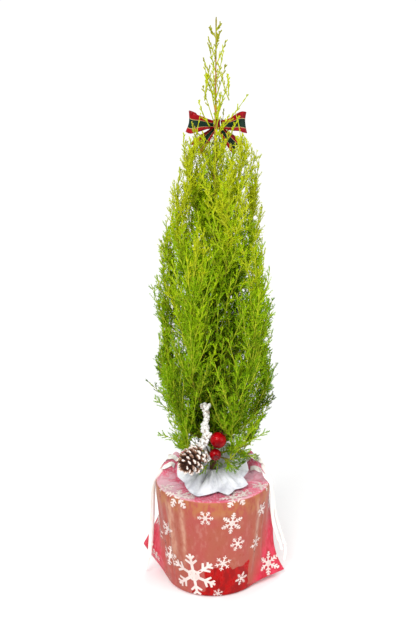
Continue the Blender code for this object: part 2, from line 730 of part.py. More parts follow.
def smooth_route(points, steps):
    """A smooth curve through the route's points, as Catmull and Rom."""
    padded = [2 * points[0] - points[1]] + points + [2 * points[-1] - points[-2]]
    route = []
    for i in range(1, len(padded) - 2):
        a, b, c, d = padded[i - 1 : i + 3]
        for k in range(steps):
            t = k / steps
            bend = 2 * b + (c - a) * t + (2 * a - 5 * b + 4 * c - d) * t**2 + (3 * b - a - 3 * c + d) * t**3
            route.append(bend / 2)
    route.append(points[-1])
    return route


def build_drawstrings(satin, collection):
    """Two satin tapes out of the channel on each side, over the rim and down, each end with its knot."""
    lift = Vector((0.0, 0.0, GAP + 0.5 * (DRAWSTRING_THICKNESS + 0.7 * DRAWSTRING_WIDTH)))
    for name, ((leaves, crosses), below, tip) in DRAWSTRINGS.items():
        route = [mouth_point(leaves + (crosses - leaves) * s, 0.75 - 0.75 * s) + lift for s in (0.0, 0.4, 0.7, 1.0)]
        route += [polar(BAG_RIM_RADIUS + 0.0012, crosses, BAG_RIM_HEIGHT - 0.0010), *map(Vector, below), Vector(tip)]
        route = smooth_route(route, 2)
        widths = [DRAWSTRING_WIDTH] * len(route)
        tape = strip(route, widths, Vector((0.0, 1.0, 0.0)), DRAWSTRING_THICKNESS)
        join_solids(name, [tape, ball(route[-3], 0.0024)], satin, collection)


def main():
    for thing in list(bpy.data.objects):
        bpy.data.objects.remove(thing)
    plant = bpy.data.collections.new("Potted lemon cypress")
    bpy.context.scene.collection.children.link(plant)
    bark = finish("Bark", (0.33, 0.19, 0.10), 0.85)
    leaf = finish("Lemon foliage", (0.38, 0.52, 0.04), 0.60)
    clay = finish("Terracotta plastic", (0.55, 0.20, 0.09), 0.50)
    earth = finish("Potting soil", (0.07, 0.045, 0.03), 0.95)
    film = finish("Red film", (0.78, 0.10, 0.14), 0.25)
    cloth = finish("White liner", (0.85, 0.86, 0.88), 0.80)
    tartan = finish("Striped ribbon", (0.45, 0.02, 0.03), 0.45)
    wood = finish("Cone scales", (0.20, 0.11, 0.07), 0.75)
    snow = finish("Artificial frost", (0.90, 0.90, 0.88), 0.80)
    red = finish("Red lacquer", (0.62, 0.01, 0.02), 0.15)
    twig = finish("Pick stick", (0.24, 0.13, 0.08), 0.80)
    satin = finish("White satin", (0.88, 0.86, 0.80), 0.40)
    build_pot(clay, earth, plant)
    build_bag(film, plant)
    build_ruff(cloth, plant)
    build_trunk(bark, plant)
    build_crown(bark, leaf, plant)
    build_bow(tartan, plant)
    build_pine_cone(wood, plant)
    build_pick(snow, red, twig, plant)
    build_drawstrings(satin, plant)


main()
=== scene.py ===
"""The looks of a potted lemon cypress dressed as a Christmas gift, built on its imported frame.

Metres, +Z up. The origin is the middle of the bag's flat underside, and -Y is the side with the pine cone.
"""

import collections
import math

import bpy
import numpy as np
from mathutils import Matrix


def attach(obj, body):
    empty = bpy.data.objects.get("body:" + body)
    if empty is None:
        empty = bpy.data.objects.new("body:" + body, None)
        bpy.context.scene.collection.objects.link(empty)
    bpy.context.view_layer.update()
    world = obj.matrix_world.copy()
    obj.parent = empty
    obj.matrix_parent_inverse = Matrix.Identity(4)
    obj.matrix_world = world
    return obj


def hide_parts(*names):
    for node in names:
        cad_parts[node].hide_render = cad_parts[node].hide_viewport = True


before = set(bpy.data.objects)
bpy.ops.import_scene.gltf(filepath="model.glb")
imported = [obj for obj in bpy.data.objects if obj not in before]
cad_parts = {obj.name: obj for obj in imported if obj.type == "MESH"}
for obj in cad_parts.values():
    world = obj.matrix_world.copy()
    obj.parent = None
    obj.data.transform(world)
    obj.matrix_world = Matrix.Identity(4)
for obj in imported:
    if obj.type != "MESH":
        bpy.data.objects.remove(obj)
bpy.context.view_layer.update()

# The pot and its filling, the bag and the liner.
POT_BASE = 0.0011
POT_HEIGHT = 0.136
POT_TOP_RADIUS = 0.0728
POT_FOOT_RADIUS = 0.0605
POT_LIP = 0.0017
POT_LIP_DEPTH = 0.020
POT_WALL = 0.0025
SOIL_TOP = 0.1241
BAG_FOOT_RADIUS = 0.0635
BAG_RIM_RADIUS = 0.0768
BAG_RIM_HEIGHT = 0.1385
BAG_MOUTH_RISE = 0.020
# The bag's two bottom corners: azimuth, reach and height of each tip, the height where its fin starts, how
# sharply the fin swings out to the tip, and the share of it that already stands off the pot further up.
EARS = ((-3.0, 0.1000, 0.008, 0.118, 3.5, 0.28), (168.0, 0.0990, 0.034, 0.090, 1.15, 0.0))
EAR_FOOT = 0.010

# The plant, by the same rule as its solids.
GAP = 0.0003
TRUNK_FOOT = SOIL_TOP + GAP
TRUNK_TIP = 0.690
PLANT_TOP = 0.736
TRUNK_FLARE_RADIUS = 0.0072
TRUNK_FLARE_RISE = 0.008
TRUNK_RADIUS = 0.0044
TRUNK_TIP_RADIUS = 0.0007
TRUNK_LEAN = np.array([0.0035, 0.0])
BOUGH_FOOT_RADIUS = 0.0022
BOUGH_TIP_RADIUS = 0.0016
BOUGH_STEPS = 24
STEM_RADIUS = 0.0015
# How far up the space between two tiers' stems the lower tier's masses reach.
TIER_SHARE = 0.62
CROWN_RADIUS = 0.090
CROWN_SHOULDER = 0.200
CROWN_POINT = 0.745
CROWN_DEPTH = 0.0795
# How the crown draws in at its foot and closes in at its neck: heights, with the shares or the radii there.
CROWN_FOOT = ((0.165, 0.190, 0.215, 0.240, 0.270), (0.60, 0.68, 0.80, 0.89, 1.0))
CROWN_NECK = (
    (0.500, 0.540, 0.560, 0.585, 0.610, 0.640, 0.700, 0.740),
    (0.090, 0.063, 0.057, 0.045, 0.034, 0.022, 0.015, 0.006),
)
# How far the crown fills that outline: height, and the share to its left and to its right.
CROWN_SIDES = (
    (0.190, 0.84, 0.92), (0.207, 0.82, 0.86), (0.236, 0.74, 0.91), (0.265, 0.88, 0.96), (0.294, 0.98, 0.89),
    (0.325, 0.78, 0.88), (0.352, 0.84, 0.93), (0.381, 0.95, 1.00), (0.410, 0.98, 0.84), (0.439, 0.95, 0.84),
    (0.468, 0.99, 0.90), (0.497, 0.84, 0.86), (0.526, 0.93, 0.91), (0.560, 0.80, 0.94), (0.584, 0.74, 1.02),
)
# The shares of the outline that hold a mass, its stem, its plumes' knees, and its last plume and shoots.
MASS_SHARE, STEM_SHARE, KNEE_SHARE, END_SHARE = 1.13, 0.88, 0.92, 0.96
# The leader's own room, where no mass may grow: from this height up, and this far round the trunk's line.
LEADER_FLOOR = 0.684
LEADER_REACH = 0.014
GOLDEN_ANGLE = math.radians(137.508)
# Each tier: name, masses, first azimuth, height at the trunk, height at its tips, reach, how late its stems
# turn up, length of its boughs, the plumes that each mass may bear, and those that spring from the trunk.
Tier = collections.namedtuple("Tier", "name masses azimuth foot top reach sweep bough plumes trunk_plumes")
TIERS = (
    Tier("skirt", 5, 10.0, 0.176, 0.196, 0.061, 1.3, 0.0, 11, 3),
    Tier("lower", 5, 6.0, 0.200, 0.272, 0.068, 1.5, 0.016, 28, 10),
    Tier("broad", 5, 28.0, 0.240, 0.350, 0.071, 1.5, 0.014, 38, 12),
    Tier("middle", 4, 65.0, 0.300, 0.432, 0.064, 1.5, 0.0, 46, 10),
    Tier("upper", 4, 20.0, 0.380, 0.512, 0.052, 1.5, 0.0, 42, 10),
    Tier("shoulder", 3, 90.0, 0.462, 0.585, 0.037, 1.4, 0.0, 34, 8),
    Tier("crest", 3, 90.0, 0.545, 0.654, 0.0195, 1.2, 0.0, 4, 0),
)

# The decorations.
CONE_CENTRE = np.array([-0.0265, -0.0605, 0.1900])
CONE_AXIS = np.array([-0.50, -0.82, -0.10])
CONE_RADIUS = 0.0190
SPIKE_FOOT = np.array([-0.0108, -0.0495, 0.2095])
SPIKE_TIP = np.array([-0.0095, -0.0490, 0.2585])
BERRIES = (
    ("berry_upper", np.array([0.0066, -0.0500, 0.2135]), 0.0105, np.array([0.6, 0.2, 0.8])),
    ("berry_lower", np.array([0.0030, -0.0520, 0.1945]), 0.0076, np.array([0.1, -1.0, -0.1])),
)
BOW_CENTRE = np.array([0.0050, 0.0064, 0.6080])
BOW_HALF_SPAN = 0.0355
BOW_DEPTH = 0.0085
RIBBON_WIDTH = 0.025
RIBBON_THICKNESS = 0.0005

UP = np.array([0.0, 0.0, 1.0])


# Whole-array tools for shapes.


def unit(vectors):
    """Vectors divided by their own lengths."""
    return vectors / np.maximum(np.linalg.norm(vectors, axis=-1, keepdims=True), 1e-12)


def polar(radius, azimuth, height):
    """Points from distance to the upright axis, azimuth in degrees and height."""
    turn = np.radians(azimuth)
    radius, turn, height = np.broadcast_arrays(radius, turn, height)
    return np.stack([radius * np.cos(turn), radius * np.sin(turn), height], axis=-1).astype(float)


def round_turns(count):
    """Azimuths in even steps round a whole turn."""
    return np.linspace(0.0, 360.0, count, endpoint=False)


def off_bearing(azimuth, bearing):
    """How far an azimuth lies from a bearing, in degrees from -180 to 180."""
    return (azimuth - bearing + 180.0) % 360.0 - 180.0


def share_between(value, low, high):
    """How far a value lies from low to high: 0 up to low, 1 from high on."""
    return np.clip((value - low) / (high - low), 0.0, 1.0)


def grid_faces(rows, columns, closed=False):
    """Quads between neighbours of a grid of rows by columns, where each row may close on its start."""
    i = np.arange(rows - 1)[:, None]
    j = np.arange(columns if closed else columns - 1)[None, :]
    right = (j + 1) % columns
    quads = [i * columns + j, i * columns + right, (i + 1) * columns + right, (i + 1) * columns + j]
    return np.stack(np.broadcast_arrays(*quads), axis=-1).reshape(-1, 4)


def lidded_faces(rows, columns):
    """The faces of rings one over the other: quads between them, and a lid over the first and the last."""
    foot, top = np.arange(columns)[None, ::-1], np.arange((rows - 1) * columns, rows * columns)[None]
    return [grid_faces(rows, columns, closed=True), foot, top]


def poled_faces(rows, columns):
    """The faces of rings that close on two poles, which are the two points after the rings."""
    ring, last, pole = np.arange(columns), (rows - 1) * columns, rows * columns
    following = (ring + 1) % columns
    low = np.stack([np.full(columns, pole), following, ring], axis=1)
    high = np.stack([np.full(columns, pole + 1), last + ring, last + following], axis=1)
    return [grid_faces(rows, columns, closed=True), low, high]


def new_object(name, data):
    """A new object in the scene."""
    made = bpy.data.objects.new(name, data)
    bpy.context.scene.collection.objects.link(made)
    return made


def add_piece(name, points, face_groups, material, slot, replaced=(), smooth=True, marks=None):
    """One mesh that rides with the plant, from arrays of points, faces by corner count and point marks."""
    mesh = bpy.data.meshes.new(name)
    face_groups = [np.asarray(group, np.int32) for group in face_groups if len(group)]
    corners = np.concatenate([group.ravel() for group in face_groups])
    sizes = np.concatenate([np.full(len(group), group.shape[1]) for group in face_groups])
    mesh.vertices.add(len(points))
    mesh.vertices.foreach_set("co", np.ascontiguousarray(points, np.float32).ravel())
    mesh.loops.add(len(corners))
    mesh.loops.foreach_set("vertex_index", corners)
    mesh.polygons.add(len(sizes))
    mesh.polygons.foreach_set("loop_start", np.concatenate([[0], np.cumsum(sizes)[:-1]]).astype(np.int32))
    mesh.polygons.foreach_set("use_smooth", np.full(len(sizes), smooth))
    for mark, values in (marks or {}).items():
        marked = mesh.attributes.new(mark, "FLOAT", "POINT")
        marked.data.foreach_set("value", np.asarray(values, np.float32).ravel())
    mesh.update(calc_edges=True)
    mesh.validate()
    mesh.materials.append(material)
    piece = new_object(name, mesh)
    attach(piece, "root")
    if replaced:
        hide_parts(*replaced)
    return piece


def add_wall(piece, thickness, offset=0.0):
    """Gives an open surface its thickness."""
    wall = piece.modifiers.new("Wall", "SOLIDIFY")
    wall.thickness = thickness
    wall.offset = offset
    return piece


def tubes(paths, radii, sides):
    """Round limbs carried along many paths at once: a regular section at each point, with both ends closed.

    Each section stands square to the path, its corners at even turns from one side, the same all along.
    """
    paths, radii = np.asarray(paths, float), np.asarray(radii, float)
    count, rings = paths.shape[:2]
    along = unit(np.gradient(paths, axis=1))
    chord = unit(paths[:, -1] - paths[:, 0])
    reference = np.where(np.abs(chord[:, 1:2]) < 0.9, [[0.0, 1.0, 0.0]], [[1.0, 0.0, 0.0]])[:, None]
    side = unit(reference - along * np.sum(along * reference, axis=-1, keepdims=True))
    other = np.cross(along, side)
    turn = 2 * np.pi * np.arange(sides) / sides
    ring = side[:, :, None] * np.cos(turn)[:, None] + other[:, :, None] * np.sin(turn)[:, None]
    points = paths[:, :, None] + ring * radii[:, :, None, None]
    first = (np.arange(count) * rings * sides)[:, None, None]
    walls = grid_faces(rings, sides, closed=True)[None] + first
    feet = np.arange(sides)[::-1][None, None] + first
    tips = np.arange((rings - 1) * sides, rings * sides)[None, None] + first
    return points.reshape(-1, 3), [walls.reshape(-1, 4), np.concatenate([feet, tips]).reshape(-1, sides)]


def spikes(roots, directions, across, lengths, radii):
    """Slim closed pyramids: three corners round each root, and a tip a length away along its direction."""
    other = np.cross(directions, across)
    size = np.asarray(radii)[..., None]
    turns = ((1.0, 0.0), (-0.5, 0.866), (-0.5, -0.866))
    corners = [roots + size * (cosine * across + sine * other) for cosine, sine in turns]
    tips = roots + directions * np.asarray(lengths)[..., None]
    points = np.stack([*corners, tips], axis=-2).reshape(-1, 3)
    faces = np.array([(0, 1, 3), (1, 2, 3), (2, 0, 3), (0, 2, 1)])
    return points, [(faces[None] + 4 * np.arange(len(points) // 4)[:, None, None]).reshape(-1, 3)]


def joined(parts):
    """Several shapes as one: their points after each other, and their groups of faces shifted to match."""
    points, groups, first = [], [], 0
    for shape_points, shape_groups in parts:
        points.append(shape_points)
        groups += [np.asarray(group) + first for group in shape_groups]
        first += len(shape_points)
    return np.concatenate(points), groups


# Materials.


def colour(red, green, blue):
    """A colour given as it shows on a screen, from 0 to 255, in the linear values that shaders take."""
    shown = np.array([red, green, blue]) / 255.0
    linear = np.where(shown <= 0.04045, shown / 12.92, ((shown + 0.055) / 1.055) ** 2.4)
    return (*[float(value) for value in linear], 1.0)


def new_group(name, inputs, outputs):
    """An empty shader node group: its named inputs with their defaults, and its named outputs."""
    group = bpy.data.node_groups.new(name, "ShaderNodeTree")
    for label, default in inputs.items():
        kind = "NodeSocketColor" if isinstance(default, tuple) else "NodeSocketFloat"
        group.interface.new_socket(label, in_out="INPUT", socket_type=kind).default_value = default
    for label, kind in outputs.items():
        group.interface.new_socket(label, in_out="OUTPUT", socket_type=kind)
    return group, group.nodes.new("NodeGroupInput").outputs, group.nodes.new("NodeGroupOutput").inputs


def set_inputs(tree, node, values):
    """A node's inputs, by name or by number: a socket is linked to its input, anything else is set there."""
    for label, value in values.items():
        if isinstance(value, bpy.types.NodeSocket):
            tree.links.new(value, node.inputs[label])
        else:
            node.inputs[label].default_value = value


def add_node(tree, kind, settings=None, values=None):
    """One node with its settings and its inputs."""
    node = tree.nodes.new(kind)
    for label, value in (settings or {}).items():
        setattr(node, label, value)
    set_inputs(tree, node, values or {})
    return node


def mix_colours(tree, share, one, other):
    """The colour between one and other at a share."""
    return add_node(tree, "ShaderNodeMix", {"data_type": "RGBA"}, {0: share, 6: one, 7: other}).outputs[2]


def calculate(tree, operation, one, other=0.0, clamp=False):
    """One step of arithmetic on one value or two, held between 0 and 1 where it is clamped."""
    settings = {"operation": operation, "use_clamp": clamp}
    return add_node(tree, "ShaderNodeMath", settings, {0: one, 1: other}).outputs[0]


def ramp(tree, value, low, high, to_low=0.0, to_high=1.0, easing="SMOOTHSTEP"):
    """A value turned from low..high into to_low..to_high and held there outside, smoothly unless told."""
    values = {"Value": value, "From Min": low, "From Max": high, "To Min": to_low, "To Max": to_high}
    return add_node(tree, "ShaderNodeMapRange", {"interpolation_type": easing}, values).outputs["Result"]


def own_place(tree):
    """The point shaded, in the object's own metres."""
    return add_node(tree, "ShaderNodeTexCoord").outputs["Object"]


def own_height(tree):
    """The height of the point shaded, in metres."""
    return add_node(tree, "ShaderNodeSeparateXYZ", values={0: own_place(tree)}).outputs["Z"]


def mark_value(tree, mark):
    """A point mark of the mesh, by name."""
    return add_node(tree, "ShaderNodeAttribute", {"attribute_name": mark}).outputs["Fac"]


def noise(tree, scale, stretch=None, detail=3.0, roughness=0.55):
    """Cloudy noise: scale in blotches a metre, drawn out along an axis by stretch."""
    place = own_place(tree)
    if stretch:
        values = {"Vector": place, "Scale": stretch}
        place = add_node(tree, "ShaderNodeMapping", values=values).outputs["Vector"]
    values = {"Vector": place, "Scale": scale, "Detail": detail, "Roughness": roughness}
    return add_node(tree, "ShaderNodeTexNoise", values=values).outputs["Fac"]


def bumps(tree, strength, distance, height):
    """The normal of a relief that follows a height: its strength, and its depth in metres."""
    values = {"Strength": strength, "Distance": distance, "Height": height}
    return add_node(tree, "ShaderNodeBump", values=values).outputs["Normal"]


def grain(scale, fine_scale, smoothest, roughest, relief, height=0.0002):
    """The mottle group's values: broad and fine blotches a metre, the range of roughness, and the relief."""
    labels = ("Scale", "Fine scale", "Smoothest", "Roughest", "Relief", "Height")
    return dict(zip(labels, (scale, fine_scale, smoothest, roughest, relief, height)))


def build_mottle():
    """Group: a colour that wanders between two, with a roughness and a relief that follow a finer grain."""
    inputs = {"Colour": (1.0,) * 4, "Other colour": (1.0,) * 4, **grain(400.0, 2000.0, 0.4, 0.6, 0.3)}
    outputs = {"Colour": "NodeSocketColor", "Roughness": "NodeSocketFloat", "Normal": "NodeSocketVector"}
    group, given, results = new_group("Mottle", inputs, outputs)
    broad = noise(group, given["Scale"], roughness=0.5)
    fine = noise(group, given["Fine scale"], detail=2.0, roughness=0.5)
    mixed = mix_colours(group, ramp(group, broad, 0.32, 0.68), given["Colour"], given["Other colour"])
    group.links.new(mixed, results["Colour"])
    rough = ramp(group, fine, 0.3, 0.7, given["Smoothest"], given["Roughest"], "LINEAR")
    group.links.new(rough, results["Roughness"])
    group.links.new(bumps(group, given["Relief"], given["Height"], fine), results["Normal"])
    return group


def build_frosting():
    """Group: a mask of crusty white on the places that a mark names, broken up by noise."""
    inputs = {"Mark": 0.0, "Scale": 500.0, "Spread": 0.25}
    group, given, results = new_group("Frosting", inputs, {"Mask": "NodeSocketFloat"})
    broken = noise(group, given["Scale"], detail=4.0, roughness=0.5)
    shifted = calculate(group, "MULTIPLY", calculate(group, "SUBTRACT", broken, 0.5), given["Spread"])
    shifted = calculate(group, "MULTIPLY", shifted, 4.0)
    group.links.new(ramp(group, calculate(group, "ADD", given["Mark"], shifted), 0.45, 0.60), results["Mask"])
    return group


MOTTLE = build_mottle()
FROSTING = build_frosting()


def plain_shader(name, settings):
    """A new material: its tree, and its Principled shader with constants on its own sockets."""
    material = bpy.data.materials.new(name)
    material.use_nodes = True
    shader = material.node_tree.nodes["Principled BSDF"]
    set_inputs(material.node_tree, shader, settings)
    return material, material.node_tree, shader


def dress(tree, shader, base, roughness, normal):
    """The three inputs that every finish feeds."""
    set_inputs(tree, shader, {"Base Color": base, "Roughness": roughness, "Normal": normal})


def add_mottle(tree, one, other, values):
    """What the mottle group makes of two colours and its other values."""
    values = {"Colour": one, "Other colour": other, **values}
    return add_node(tree, "ShaderNodeGroup", {"node_tree": MOTTLE}, values).outputs


def mottled(name, one, other, values, settings=None):
    """A material whose colour, roughness and relief all come from the mottle group."""
    material, tree, shader = plain_shader(name, settings or {})
    ground = add_mottle(tree, one, other, values)
    dress(tree, shader, ground["Colour"], ground["Roughness"], ground["Normal"])
    return material


# The trunk and the space of each mass of foliage.


def trunk_point(height):
    """The trunk's middle line: nearly upright, with a slight lean."""
    height = np.asarray(height, float)
    share = (height - TRUNK_FOOT) / (PLANT_TOP - TRUNK_FOOT)
    return np.stack([TRUNK_LEAN[0] * share, TRUNK_LEAN[1] * share, height], axis=-1)


def trunk_radius(height):
    """Root flare at the soil, then an even taper to the tip."""
    share = np.minimum(1.0, (height - TRUNK_FOOT) / (TRUNK_TIP - TRUNK_FOOT))
    flare = (TRUNK_FLARE_RADIUS - TRUNK_RADIUS) * np.exp(-(height - TRUNK_FOOT) / TRUNK_FLARE_RISE)
    return TRUNK_RADIUS + (TRUNK_TIP_RADIUS - TRUNK_RADIUS) * share + flare


def crown_radius(height, bearing=0.0):
    """The crown's outline: a column drawn in at its foot that closes quickly to its point, with lobes.

    The shares of CROWN_SIDES are mixed by the cosine of the bearing.
    """
    share = np.maximum(0.0, (height - CROWN_SHOULDER) / (CROWN_POINT - CROWN_SHOULDER))
    column = CROWN_RADIUS * np.maximum(0.0, 1.0 - share**2.3) * np.interp(height, *CROWN_FOOT)
    column = np.minimum(column, np.interp(height, *CROWN_NECK))
    turn = np.radians(bearing)
    lobes = 0.015 * np.sin(3 * turn + 40.0 * height) + 0.012 * np.sin(5 * turn - 65.0 * height)
    heights, left, right = np.array(CROWN_SIDES).T
    left, right = np.interp(height, heights, left), np.interp(height, heights, right)
    return column * (0.5 * (left + right) + 0.5 * (right - left) * np.cos(turn) + lobes)


def crown_place(points):
    """Each point's distance from the trunk's middle line, and its bearing in degrees."""
    offset = points - trunk_point(points[..., 2])
    return np.hypot(offset[..., 0], offset[..., 1]), np.degrees(np.arctan2(offset[..., 1], offset[..., 0]))


def drawn_in(points, share=1.0):
    """Points, with those outside a share of the crown's outline moved straight in to it."""
    radius, bearing = crown_place(points)
    kept = np.minimum(1.0, share * crown_radius(points[..., 2], bearing) / np.maximum(radius, 1e-6))
    middle = trunk_point(points[..., 2])
    return middle + (points - middle) * kept[..., None]


def stem_point(tier, azimuth, share):
    """A stem's middle line: it runs out from the trunk, then sweeps up to its tip."""
    row = TIERS[tier]
    start = trunk_radius(row.foot) + 2 * GAP
    radius = start + (row.reach - start) * np.sin(share * np.pi / 2) ** 0.9
    line = trunk_point(row.foot + (row.top - row.foot) * share**row.sweep) + polar(radius, azimuth, 0.0)
    return drawn_in(line, STEM_SHARE)


def stem_height(tier, radius):
    """The height of a tier's stems at a given distance from the trunk's middle line."""
    row = TIERS[tier]
    out = share_between(radius, trunk_radius(row.foot) + 2 * GAP, row.reach)
    share = np.arcsin(out ** (1 / 0.9)) * 2 / np.pi
    return row.foot + (row.top - row.foot) * share**row.sweep + 1.2 * np.maximum(0.0, radius - row.reach)


def ruff_top(azimuth, radius):
    """The height under which the ruff and the bag's mouth lie."""
    back = np.maximum(0.0, np.cos(np.radians(azimuth - 35.0)))
    slope = share_between(radius, RUFF_NECK_RADIUS, RUFF_NECK_RADIUS + 0.030)
    return 0.164 - 0.012 * slope + 0.016 * back * slope


# The room that the bow's loops and tails take up, and the gap combed open in front of its loops: two
# corners each, from the bow's centre. The gap leaves out the middle, where sprigs cross the knot.
LOOP_ROOM = ((-0.0375, -BOW_DEPTH, -0.01455), (0.0375, BOW_DEPTH, 0.01705))
TAIL_ROOM = ((-0.038, 0.002, -0.045), (0.038, 0.0075, 0.0))
COMBED_ROOM = ((-BOW_HALF_SPAN, -1.0, -0.0125), (BOW_HALF_SPAN, 0.0, 0.0165))
COMBED_MIDDLE = 0.0075
# The room of the pick's stick and stalks, in the plant's own metres.
STICK_ROOM = ((-0.018, -0.058, -1.0), (0.010, -0.026, 0.212))
# The room that each piece of the pick takes up: its centre, its reach round it, and how far it runs up from
# there. Growth in front is combed aside, in a gap that climbs by SIGHT_SLOPE to be open from above too.
SIGHT_SLOPE = 0.36
ROOMS = (
    (CONE_CENTRE, CONE_RADIUS + 0.004, 0.0),
    (SPIKE_FOOT, 0.0066, SPIKE_TIP[2] - SPIKE_FOOT[2] + 0.002),
    *((centre, radius + 0.0015, 0.0) for _, centre, radius, _ in BERRIES),
)


def in_box(points, box, proud=0.0):
    """Which points lie in a box, or in front of it or behind it by less than a margin."""
    low, high = np.array(box)
    margin = np.array([0.0, proud, 0.0])
    return ((points > low - margin) & (points < high + margin)).all(axis=-1)


def in_decoration(points, proud=0.0, combed=True):
    """Which points lie in the room of the bow or the pick, or in the gap that is combed open before them."""
    beside = points - BOW_CENTRE
    inside = in_box(beside, LOOP_ROOM, proud) | in_box(beside, TAIL_ROOM, proud) | in_box(points, STICK_ROOM)
    if combed:
        inside |= in_box(beside, COMBED_ROOM) & (np.abs(beside[..., 0]) > COMBED_MIDDLE)
    depth = points[..., 1]
    for centre, radius, height in ROOMS:
        ahead = np.maximum(0.0, centre[1] - depth)
        over = points[..., 2] - SIGHT_SLOPE * ahead - centre[2]
        gap = np.hypot(points[..., 0] - centre[0], over - np.clip(over, 0.0, height))
        inside |= np.where(depth < centre[1], gap, np.hypot(gap, depth - centre[1])) < radius + proud
    return inside


def in_crown(points, proud=0.002, share=1.0):
    """Which points lie in a share of the crown's outline, off the trunk, the ruff and the decorations."""
    radius, bearing = crown_place(points)
    height = points[..., 2]
    open_air = radius < np.maximum(share * crown_radius(height, bearing), 0.010) + 0.003
    open_air &= radius > trunk_radius(height) + 0.0005
    open_air &= np.abs(points[..., 1]) < CROWN_DEPTH
    open_air &= (height > ruff_top(bearing, radius) - 0.004) & (height < PLANT_TOP - 0.002)
    return open_air & ~in_decoration(points, proud)


def in_space(tier, azimuth, points):
    """Which points lie in the space of one mass: its sector, between the stems of the tiers around it.

    Fine growth interlaces, so it may stray a little way over the sides of its sector.
    """
    radius, bearing = crown_place(points)
    height = points[..., 2]
    inside = (radius > trunk_radius(height) + 0.0008) & (radius < MASS_SHARE * crown_radius(height, bearing))
    inside &= np.abs(points[..., 1]) < CROWN_DEPTH
    inside &= (height > ruff_top(bearing, radius)) & ~in_decoration(points, 0.002)
    inside &= (height < LEADER_FLOOR) | (radius > LEADER_REACH)
    over = np.abs(off_bearing(bearing, azimuth)) - 180.0 / TIERS[tier].masses
    inside &= (over < 0.0) | (radius * np.sin(np.radians(np.minimum(over, 90.0))) < STRAY)
    own = stem_height(tier, radius)
    if tier + 1 < len(TIERS):
        inside &= height < own + TIER_SHARE * (stem_height(tier + 1, radius) - own)
    if tier > 0:
        below = stem_height(tier - 1, radius)
        inside &= height > below + TIER_SHARE * (own - below)
    return inside


# The sprigs that rise in front of the bow, the longest first: the start, the bend and the tip of each.
BOW_SPRIGS = (
    ((0.0030, 0.0000, 0.5920), (0.0200, -0.0150, 0.6130), (0.0430, -0.0110, 0.6440)),
    ((-0.0175, -0.0100, 0.5740), (-0.0225, -0.0190, 0.5920), (-0.0265, -0.0150, 0.6110)),
    ((-0.0050, -0.0040, 0.5860), (-0.0150, -0.0130, 0.5930), (-0.0235, -0.0150, 0.6010)),
    ((-0.0040, -0.0040, 0.6050), (-0.0125, -0.0090, 0.6170), (-0.0180, -0.0080, 0.6370)),
    ((0.0005, -0.0040, 0.6060), (0.0060, -0.0090, 0.6230), (0.0095, -0.0060, 0.6460)),
    ((0.0160, -0.0080, 0.5860), (0.0240, -0.0160, 0.6000), (0.0315, -0.0130, 0.6180)),
    ((0.0230, -0.0120, 0.5740), (0.0315, -0.0180, 0.5820), (0.0365, -0.0140, 0.5970)),
    ((0.0045, -0.0040, 0.5960), (0.0120, -0.0130, 0.6060), (0.0195, -0.0120, 0.6180)),
    ((0.0000, -0.0040, 0.5680), (0.0010, -0.0150, 0.5820), (0.0045, -0.0130, 0.6010)),
    ((0.0080, -0.0060, 0.5640), (0.0165, -0.0160, 0.5800), (0.0180, -0.0120, 0.5990)),
    ((-0.0330, -0.0080, 0.5690), (-0.0380, -0.0150, 0.5810), (-0.0360, -0.0120, 0.5970)),
    ((-0.0070, -0.0040, 0.5640), (-0.0115, -0.0150, 0.5800), (-0.0125, -0.0130, 0.5990)),
    ((-0.0010, -0.0040, 0.5480), (-0.0040, -0.0160, 0.5640), (-0.0050, -0.0150, 0.5850)),
    ((0.0030, -0.0040, 0.5440), (0.0080, -0.0170, 0.5600), (0.0095, -0.0160, 0.5830)),
    ((-0.0060, -0.0040, 0.5400), (-0.0160, -0.0180, 0.5560), (-0.0190, -0.0170, 0.5780)),
    ((0.0060, -0.0040, 0.5380), (0.0190, -0.0180, 0.5540), (0.0250, -0.0170, 0.5760)),
)

# Low sprigs that hang out over the ruff and past the crown: start, bend and tip.
LOW_SPRIGS = (
    ((0.0010, -0.0080, 0.1720), (-0.0050, -0.0280, 0.1790), (-0.0135, -0.0450, 0.1660)),
    ((0.0030, -0.0070, 0.1760), (0.0060, -0.0260, 0.1820), (0.0060, -0.0440, 0.1720)),
    ((0.0300, -0.0260, 0.1960), (0.0500, -0.0320, 0.2050), (0.0700, -0.0330, 0.2190)),
    ((0.0260, -0.0240, 0.1880), (0.0420, -0.0340, 0.1880), (0.0580, -0.0400, 0.1850)),
    ((-0.0300, -0.0200, 0.1980), (-0.0500, -0.0270, 0.2060), (-0.0710, -0.0290, 0.2140)),
    ((-0.0340, -0.0180, 0.2300), (-0.0560, -0.0240, 0.2420), (-0.0760, -0.0260, 0.2620)),
    ((-0.0040, -0.0120, 0.1900), (-0.0140, -0.0330, 0.2150), (-0.0300, -0.0400, 0.2400)),
    ((-0.0020, -0.0120, 0.1940), (-0.0100, -0.0340, 0.2300), (-0.0170, -0.0390, 0.2700)),
    ((0.0020, -0.0120, 0.1940), (0.0020, -0.0340, 0.2250), (-0.0030, -0.0390, 0.2660)),
    ((0.0040, -0.0120, 0.1900), (0.0120, -0.0350, 0.2150), (0.0160, -0.0410, 0.2580)),
    ((0.0060, -0.0110, 0.1860), (0.0200, -0.0330, 0.2040), (0.0310, -0.0420, 0.2300)),
)

# How much of each tier's stems is bare wood; beyond it the leading plume carries on.
STEM_ENDS = (0.8, 0.8, 0.8, 0.8, 0.85, 0.75, 0.45)

